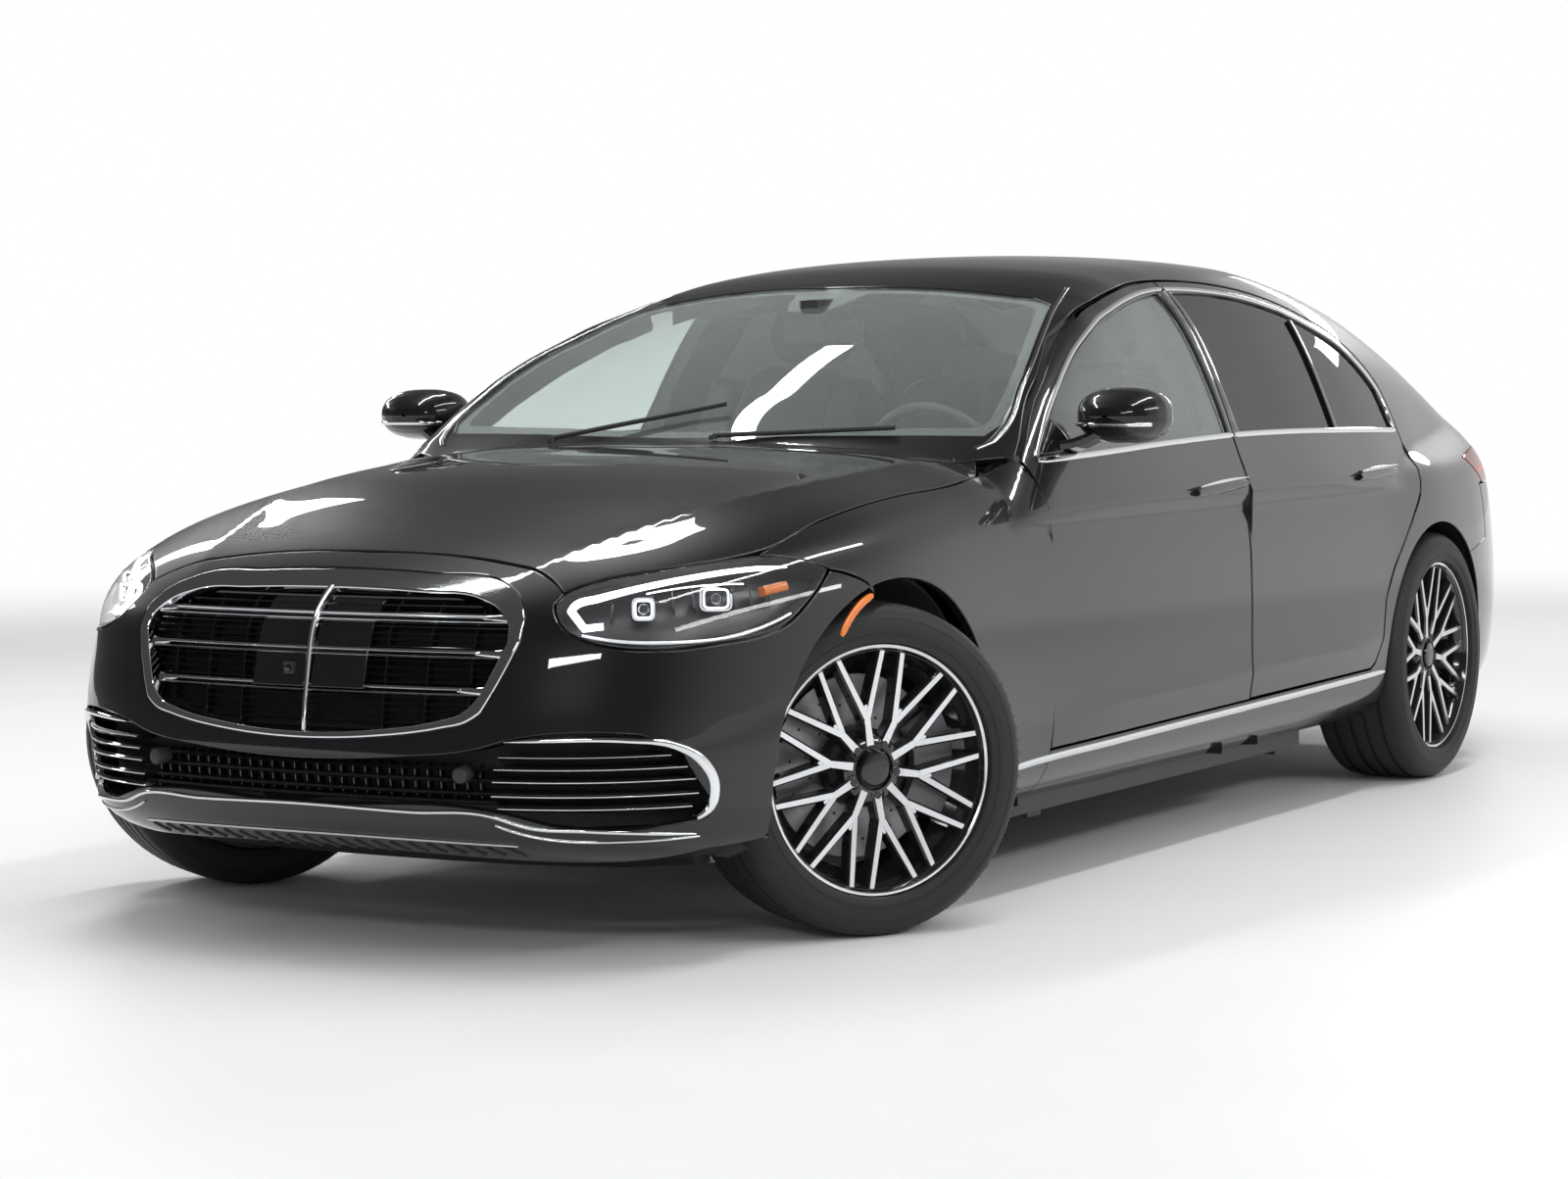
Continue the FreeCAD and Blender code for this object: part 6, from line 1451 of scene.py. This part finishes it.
def cushion(mesh, centre, right_way, up_way, size, crown, seams=(), squareness=4.0, count=(30, 30), slot=0):
    """Pillow over a rounded rectangle; seams are (direction, place) grooves.

    Direction 0 is a groove across the width, 1 along the length.
    """
    centre, right_way, up_way = (np.array(v, float) for v in (centre, right_way, up_way))
    out_way = np.cross(right_way, up_way)
    half_w, half_l, thick = size[0] / 2, size[1] / 2, size[2]
    nu, nv = count
    u, v = np.meshgrid(np.linspace(-1, 1, nu), np.linspace(-1, 1, nv), indexing="ij")
    reach = (np.abs(u) ** squareness + np.abs(v) ** squareness) ** (1 / squareness)
    longest = np.maximum(np.maximum(np.abs(u), np.abs(v)), 1e-9)
    shrink = np.where(reach > 1e-9, longest / np.maximum(reach, 1e-9), 1)
    x, y = u * shrink, v * shrink
    edge = np.clip(1 - longest, 0, 1)
    height = thick / 2 * (1 - (1 - np.clip(edge * 4, 0, 1)) ** 2) ** .5 + crown * (1 - x * x) * (1 - y * y)
    for way, at in seams:
        t = (x if way == 0 else y) - at
        half_span = half_w if way == 0 else half_l
        height = height - .009 * np.exp(-(t * half_span / .007) ** 2) * np.clip(edge * 6, 0, 1)
    front = centre + right_way * (x * half_w)[..., None] + up_way * (y * half_l)[..., None]
    front = front + out_way * height[..., None]
    rear = centre + right_way * (x * half_w)[..., None] + up_way * (y * half_l)[..., None] \
        - out_way * (thick / 2 * (1 - (1 - np.clip(edge * 5, 0, 1)) ** 2) ** .5)[..., None]
    for grid in (front, rear):
        verts = grid.reshape(-1, 3)
        faces = [(i * nv + j, (i + 1) * nv + j, (i + 1) * nv + j + 1,
                  i * nv + j + 1) for i in range(nu - 1) for j in range(nv - 1)]
        mesh.add(verts, faces, slot=slot)


def tilted(degrees):
    """Upward direction in the (x, z) plane leaning back from upright."""
    a = math.radians(degrees)
    return (-math.sin(a), 0, math.cos(a))


def seat_mesh(y, width, base_x, top, rest=True):
    mesh = Mesh()
    lean = tilted(22)
    flat = (math.cos(math.radians(8)), 0, math.sin(math.radians(8)))
    across_way = (0, 1, 0)
    cushion(mesh, (base_x + .25, y, top - .045), across_way, (-flat[0], 0, -flat[2]),
            (width * .66, .50, .13), .018, [(1, -.25), (1, .1), (1, .45), (0, -.78), (0, .78)])
    for q in (1, -1):
        cushion(mesh, (base_x + .25, y + q * width * .40, top - .028), across_way, (-flat[0], 0, -flat[2]),
                (width * .22, .52, .16), .022, count=(16, 26))
        cushion(mesh, (base_x - .075, y + q * width * .385, top + .30), (0, -1, 0), lean,
                (width * .22, .58, .15), .026, count=(16, 26))
    cushion(mesh, (base_x - .085, y, top + .31), (0, -1, 0), lean, (width * .64, .64, .13), .016,
            [(1, -.5), (1, -.2), (1, .12), (1, .45), (0, -.80), (0, .80)])
    if rest:
        top_at = np.array([base_x - .115, y, top + .31]) + np.array(lean) * .415
        cushion(mesh, top_at, (0, -1, 0), lean, (.255, .175, .10), .012, [(0, -.9), (0, .9)], 3.2, (22, 18))
    return mesh


for side, q in (("left", 1), ("right", -1)):
    seat = seat_mesh(q * SEAT_Y, .52, .020, .600)
    under = Mesh()
    block(under, (-.12, q * SEAT_Y - .235, .345), (.47, q * SEAT_Y + .235, .480), 1, .03)
    block(under, (-.21, q * SEAT_Y - .22, .50), (-.150, q * SEAT_Y + .22, 1.02), 1, .02)
    for d in (-.055, .055):
        turned(under, [(0, .006), (.13, .006)], (-.190, q * SEAT_Y + d, .985), (-.2, 0, 1), 12, 2)
    for d in (-.21, .21):
        block(under, (.02, q * SEAT_Y + d - .02, .210), (.44, q * SEAT_Y + d + .02, .36), 2)
    cover = finish_part("seat_front_" + side, seat, [LEATHER], "body",
                        ["front_seat_" + side], 50)
    finish_part("seat_frame_" + side, under, [LEATHER, TRIM, STEEL], "body")
bench = Mesh()
lean = tilted(24)
for y, width in ((.42, .56), (-.42, .56), (0, .30)):
    cushion(bench, (-.86, y, .600), (0, 1, 0), (-.995, 0, -.10), (width, .56, .16), .022,
            [(1, -.3), (1, .2), (0, -.7), (0, .7)] if width > .4 else [(1, 0)], 5)
    cushion(bench, (-1.160, y, .885), (0, -1, 0), lean, (width, .62, .14), .020,
            [(1, -.4), (1, .1), (0, -.72), (0, .72)] if width > .4 else [(1, 0)], 5)
    if width > .4:
        cushion(bench, (-1.275, y, 1.175), (0, -1, 0), tilted(12), (.27, .15, .09), .012, (), 3.2, (22, 18))
bench_cover = finish_part("seat_rear_bench", bench, [LEATHER], "body", ["rear_seat"], 50)
shelf_box = Mesh()
block(shelf_box, (-1.18, -.69, .380), (-.64, .69, .535), 0, .02)
block(shelf_box, (-1.70, -.74, 1.001), (-1.33, .74, 1.010), 1)
for y in (.42, -.42):
    for d in (-.05, .05):
        turned(shelf_box, [(0, .006), (.10, .006)], (-1.262, y + d, 1.06), (-.1, 0, 1), 12, 0)
finish_part("rear_seat_base", shelf_box, [TRIM, CARPET], "body")

# Dashboard: padded top, two displays, vents, console, steering wheel with its spokes
dash = Mesh()
profile = [(.880, .700), (.862, .800), (.850, .868), (.862, .912), (.900, .938), (.980, .950),
           (1.080, .938), (1.165, .880), (1.185, .800), (1.185, .700)]
n = len(profile)
ys = np.linspace(-.775, .775, 32)
verts = [(x - .030 * (abs(y) / .775) ** 4, y, z - .012 * (abs(y) / .775) ** 6) for y in ys for x,
         z in profile]
faces = [(i * n + k, i * n + k + 1, (i + 1) * n + k + 1,
          (i + 1) * n + k) for i in range(len(ys) - 1) for k in range(n - 1)]
dash.add(verts, faces, slot=0)
line = np.array([(.857 - .030 * (abs(y) / .775) ** 4, y,
                  .872 - .012 * (abs(y) / .775) ** 6) for y in np.linspace(-.76, .76, 40)])
sweep(dash, line, np.repeat(np.array([[-1.0, 0, .1]]), 40, 0), rounded(.008, .004, .002), slot=1)
block(dash, (.838, SEAT_Y - .165, .868), (.852, SEAT_Y + .165, .985), 2, .004)
block(dash, (.846, SEAT_Y - .175, .862), (.960, SEAT_Y + .175, .990), 0, .02)
block(dash, (.790, -.110, .640), (.812, .110, .905), 2, .005)
block(dash, (.800, -.125, .600), (.900, .125, .890), 0, .02)
for y in (-.70, -.30, .16, .72):
    block(dash, (.842, y - .045, .884), (.866, y + .045, .912), 3, .006)
    for k in range(3):
        block(dash, (.838, y - .040, .888 + .008 * k), (.846, y + .040, .890 + .008 * k), 1)
console = [(-.250, .350), (-.250, .600), (.060, .618), (.520, .600), (.800, .700), (.900, .800),
           (.900, .350)]
prism_at = len(console)
verts = [(x, y, z) for y in (-.125, .125) for x, z in console]
dash.add(verts, [(k, (k + 1) % prism_at, prism_at + (k + 1) % prism_at,
                  prism_at + k) for k in range(prism_at)]
         + [tuple(range(prism_at)), tuple(range(prism_at, 2 * prism_at))[::-1]], slot=0)
block(dash, (.10, -.10, .604), (.48, .10, .618), 3, .01)
finish_part("dashboard_top", dash, [TRIM, CHROME, SCREEN_GLASS, GLOSS_BLACK], "body",
            ["dashboard"], 40)
pad = Mesh()
cushion(pad, (-.06, 0, .628), (0, 1, 0), (1, 0, 0), (.20, .34, .05), .006, [(0, 0)])
finish_part("console_armrest", pad, [LEATHER], "body", (), 50)

wheel = Mesh()
tilt = math.radians(24)
axis = np.array([-math.cos(tilt), 0, math.sin(tilt)])
hub = np.array([.610, SEAT_Y - .010, .930])
side_way = np.array([0, 1.0, 0])
up_way = np.cross(axis, side_way)
up_way = up_way if up_way[2] > 0 else -up_way
angles = np.linspace(0, 2 * math.pi, 72, endpoint=False)
ring = np.array([hub + side_way * .186 * math.cos(a) + up_way * .186 * math.sin(a) for a in angles])
round_section = [(.0145 * math.cos(a), .0165 * math.sin(a))
                 for a in np.linspace(0, 2 * math.pi, 14, endpoint=False)]
sweep(wheel, ring, np.repeat(axis[None], 72, 0), round_section, True)
turned(wheel, [(-.040, .060), (-.006, .062), (.006, .056), (.012, .040), (.013, 0)], hub, axis, 40, 1)
for a, half_wide in ((0, .020), (math.pi, .020), (-math.pi / 2 + .16, .010), (-math.pi / 2 - .16, .010)):
    way = side_way * math.cos(a) + up_way * math.sin(a)
    line = np.array([hub + way * r - axis * (.012 - .012 * (r - .05) / .13)
                     for r in np.linspace(.045, .178, 8)])
    sweep(wheel, line, np.repeat(axis[None], 8, 0), rounded(half_wide * 2, .008, .006), slot=2)
finish_part("steering_wheel_rim", wheel, [LEATHER, TRIM, ALLOY], "steering_wheel",
            ["steering_wheel"], 40)
column = Mesh()
turned(column, [(-.360, .034), (-.060, .034), (-.045, .028)], hub, axis, 28)
finish_part("steering_column", column, [TRIM], "body")

# Plain finishes for the solids that show as they are
FINISH = {"tyre": RUBBER, "rim": ALLOY, "brake_disc": DISC, "knuckle": CALIPER, "grille": CHROME,
          "lower_grille": GLOSS_BLACK, "headlamps": LAMP_GLASS, "tail_lamps": RED, "mirror": PAINT,
          "wipers": TRIM, "underbody": DARK_METAL, "rear_bulkhead": CARPET, "engine": DARK_METAL,
          "exhaust": STEEL, "front_suspension": DARK_METAL, "rear_suspension": DARK_METAL,
          "dashboard": TRIM, "front_seat": LEATHER, "rear_seat": LEATHER, "steering_wheel": LEATHER,
          "door_glass_front": GLASS, "door_glass_rear": DARK_GLASS}
for name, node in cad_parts.items():
    for key, finish in FINISH.items():
        if name.startswith(key):
            for place in node.material_slots:
                place.material = finish

# Stage, light and camera

def area(name, at, to, size, power, colour=(1, 1, 1)):
    light = bpy.data.lights.new(name, "AREA")
    light.shape = "RECTANGLE"
    light.size, light.size_y = size
    light.energy = power
    light.color = colour
    obj = bpy.data.objects.new(name, light)
    obj.location = at
    obj.rotation_euler = (Vector(to) - Vector(at)).to_track_quat("-Z", "Y").to_euler()
    bpy.context.scene.collection.objects.link(obj)
    return obj


floor_data = bpy.data.meshes.new("floor")
floor_data.from_pydata([(-45, -45, 0), (45, -45, 0), (45, 45, 0), (-45, 45, 0)], [], [(0, 1, 2, 3)])
floor = bpy.data.objects.new("floor", floor_data)
bpy.context.scene.collection.objects.link(floor)
FLOOR = textured(material("floor_pale", (.74, .74, .735), .5), scale=3, bump=.02, colour=(.77, .77, .765))
tree = FLOOR.node_tree
spot = tree.nodes.new("ShaderNodeTexCoord")
away = tree.nodes.new("ShaderNodeVectorMath")
away.operation = "LENGTH"
fade = tree.nodes.new("ShaderNodeMapRange")
fade.interpolation_type = "SMOOTHSTEP"
fade.inputs["From Min"].default_value, fade.inputs["From Max"].default_value = 4.5, 12
bright_floor = tree.nodes.new("ShaderNodeEmission")
bright_floor.inputs["Color"].default_value = (1, 1, 1, 1)
bright_floor.inputs["Strength"].default_value = 1
blend = tree.nodes.new("ShaderNodeMixShader")
tree.links.new(spot.outputs["Object"], away.inputs[0])
tree.links.new(away.outputs["Value"], fade.inputs["Value"])
tree.links.new(fade.outputs["Result"], blend.inputs["Fac"])
tree.links.new(tree.nodes["Principled BSDF"].outputs["BSDF"], blend.inputs[1])
tree.links.new(bright_floor.outputs["Emission"], blend.inputs[2])
tree.links.new(blend.outputs[0], tree.nodes["Material Output"].inputs["Surface"])
floor_data.materials.append(FLOOR)

for y in (-1.9, 1.9):
    area("top_light", (.3, y, 4.6), (.3, y * .2, 0), (4.6, .20), 90)
area("left_light", (1.0, 6.0, 3.4), (0, 0, .7), (6, .45), 130)
area("front_light", (7.5, 2.5, 3.0), (1.8, 0, .6), (2.6, .30), 60)
area("right_light", (-1, -6.0, 3.4), (0, 0, .7), (6, .45), 120)
area("back_light", (-7.5, 0, 3.0), (-1.8, 0, .6), (3, .35), 70)

world = bpy.data.worlds.new("studio")
world.use_nodes = True
bpy.context.scene.world = world
tree = world.node_tree
links = tree.links


def backdrop(strength, colour=(1, 1, 1)):
    node = tree.nodes.new("ShaderNodeBackground")
    node.inputs["Color"].default_value = (*colour, 1)
    node.inputs["Strength"].default_value = strength
    return node


soft, white, mirrored_light = backdrop(.72, (.96, .98, 1)), backdrop(1), backdrop(1)
view_way = tree.nodes.new("ShaderNodeTexCoord")
toward = tree.nodes.new("ShaderNodeVectorMath")
toward.operation = "DOT_PRODUCT"
toward.inputs[1].default_value = (-.70, .55, -.45)
level = tree.nodes.new("ShaderNodeMapRange")
level.interpolation_type = "SMOOTHSTEP"
level.inputs["From Min"].default_value, level.inputs["From Max"].default_value = 0, .95
level.inputs["To Min"].default_value, level.inputs["To Max"].default_value = .06, 1
links.new(view_way.outputs["Generated"], toward.inputs[0])
links.new(toward.outputs["Value"], level.inputs["Value"])
links.new(level.outputs["Result"], mirrored_light.inputs["Strength"])
path = tree.nodes.new("ShaderNodeLightPath")
clear_way = tree.nodes.new("ShaderNodeMath")
clear_way.operation = "MAXIMUM"
links.new(path.outputs["Is Camera Ray"], clear_way.inputs[0])
links.new(path.outputs["Is Transmission Ray"], clear_way.inputs[1])
first, last = tree.nodes.new("ShaderNodeMixShader"), tree.nodes.new("ShaderNodeMixShader")
links.new(path.outputs["Is Glossy Ray"], first.inputs["Fac"])
links.new(soft.outputs[0], first.inputs[1])
links.new(mirrored_light.outputs[0], first.inputs[2])
links.new(clear_way.outputs[0], last.inputs["Fac"])
links.new(first.outputs[0], last.inputs[1])
links.new(white.outputs[0], last.inputs[2])
links.new(last.outputs[0], tree.nodes["World Output"].inputs["Surface"])

YAW, PITCH, ROLL = math.radians(210.369), math.radians(-3.672), math.radians(-.475)
forward = Vector((math.cos(PITCH) * math.cos(YAW), math.cos(PITCH) * math.sin(YAW), math.sin(PITCH)))
right = forward.cross(Vector((0, 0, 1))).normalized()
up = right.cross(forward)
turned_right = right * math.cos(ROLL) + up * math.sin(ROLL)
turned_up = up * math.cos(ROLL) - right * math.sin(ROLL)
camera_data = bpy.data.cameras.new("camera")
camera_data.sensor_width = 36
camera_data.lens = 36 * 3692.43 / 1600
camera_data.clip_end = 200
camera = bpy.data.objects.new("camera", camera_data)
camera.matrix_world = Matrix((
    (turned_right.x, turned_up.x, -forward.x, 8.5046),
    (turned_right.y, turned_up.y, -forward.y, 4.5986),
    (turned_right.z, turned_up.z, -forward.z, 1.2287),
    (0, 0, 0, 1)))
bpy.context.scene.collection.objects.link(camera)
bpy.context.scene.camera = camera
bpy.context.scene.view_settings.view_transform = "Standard"
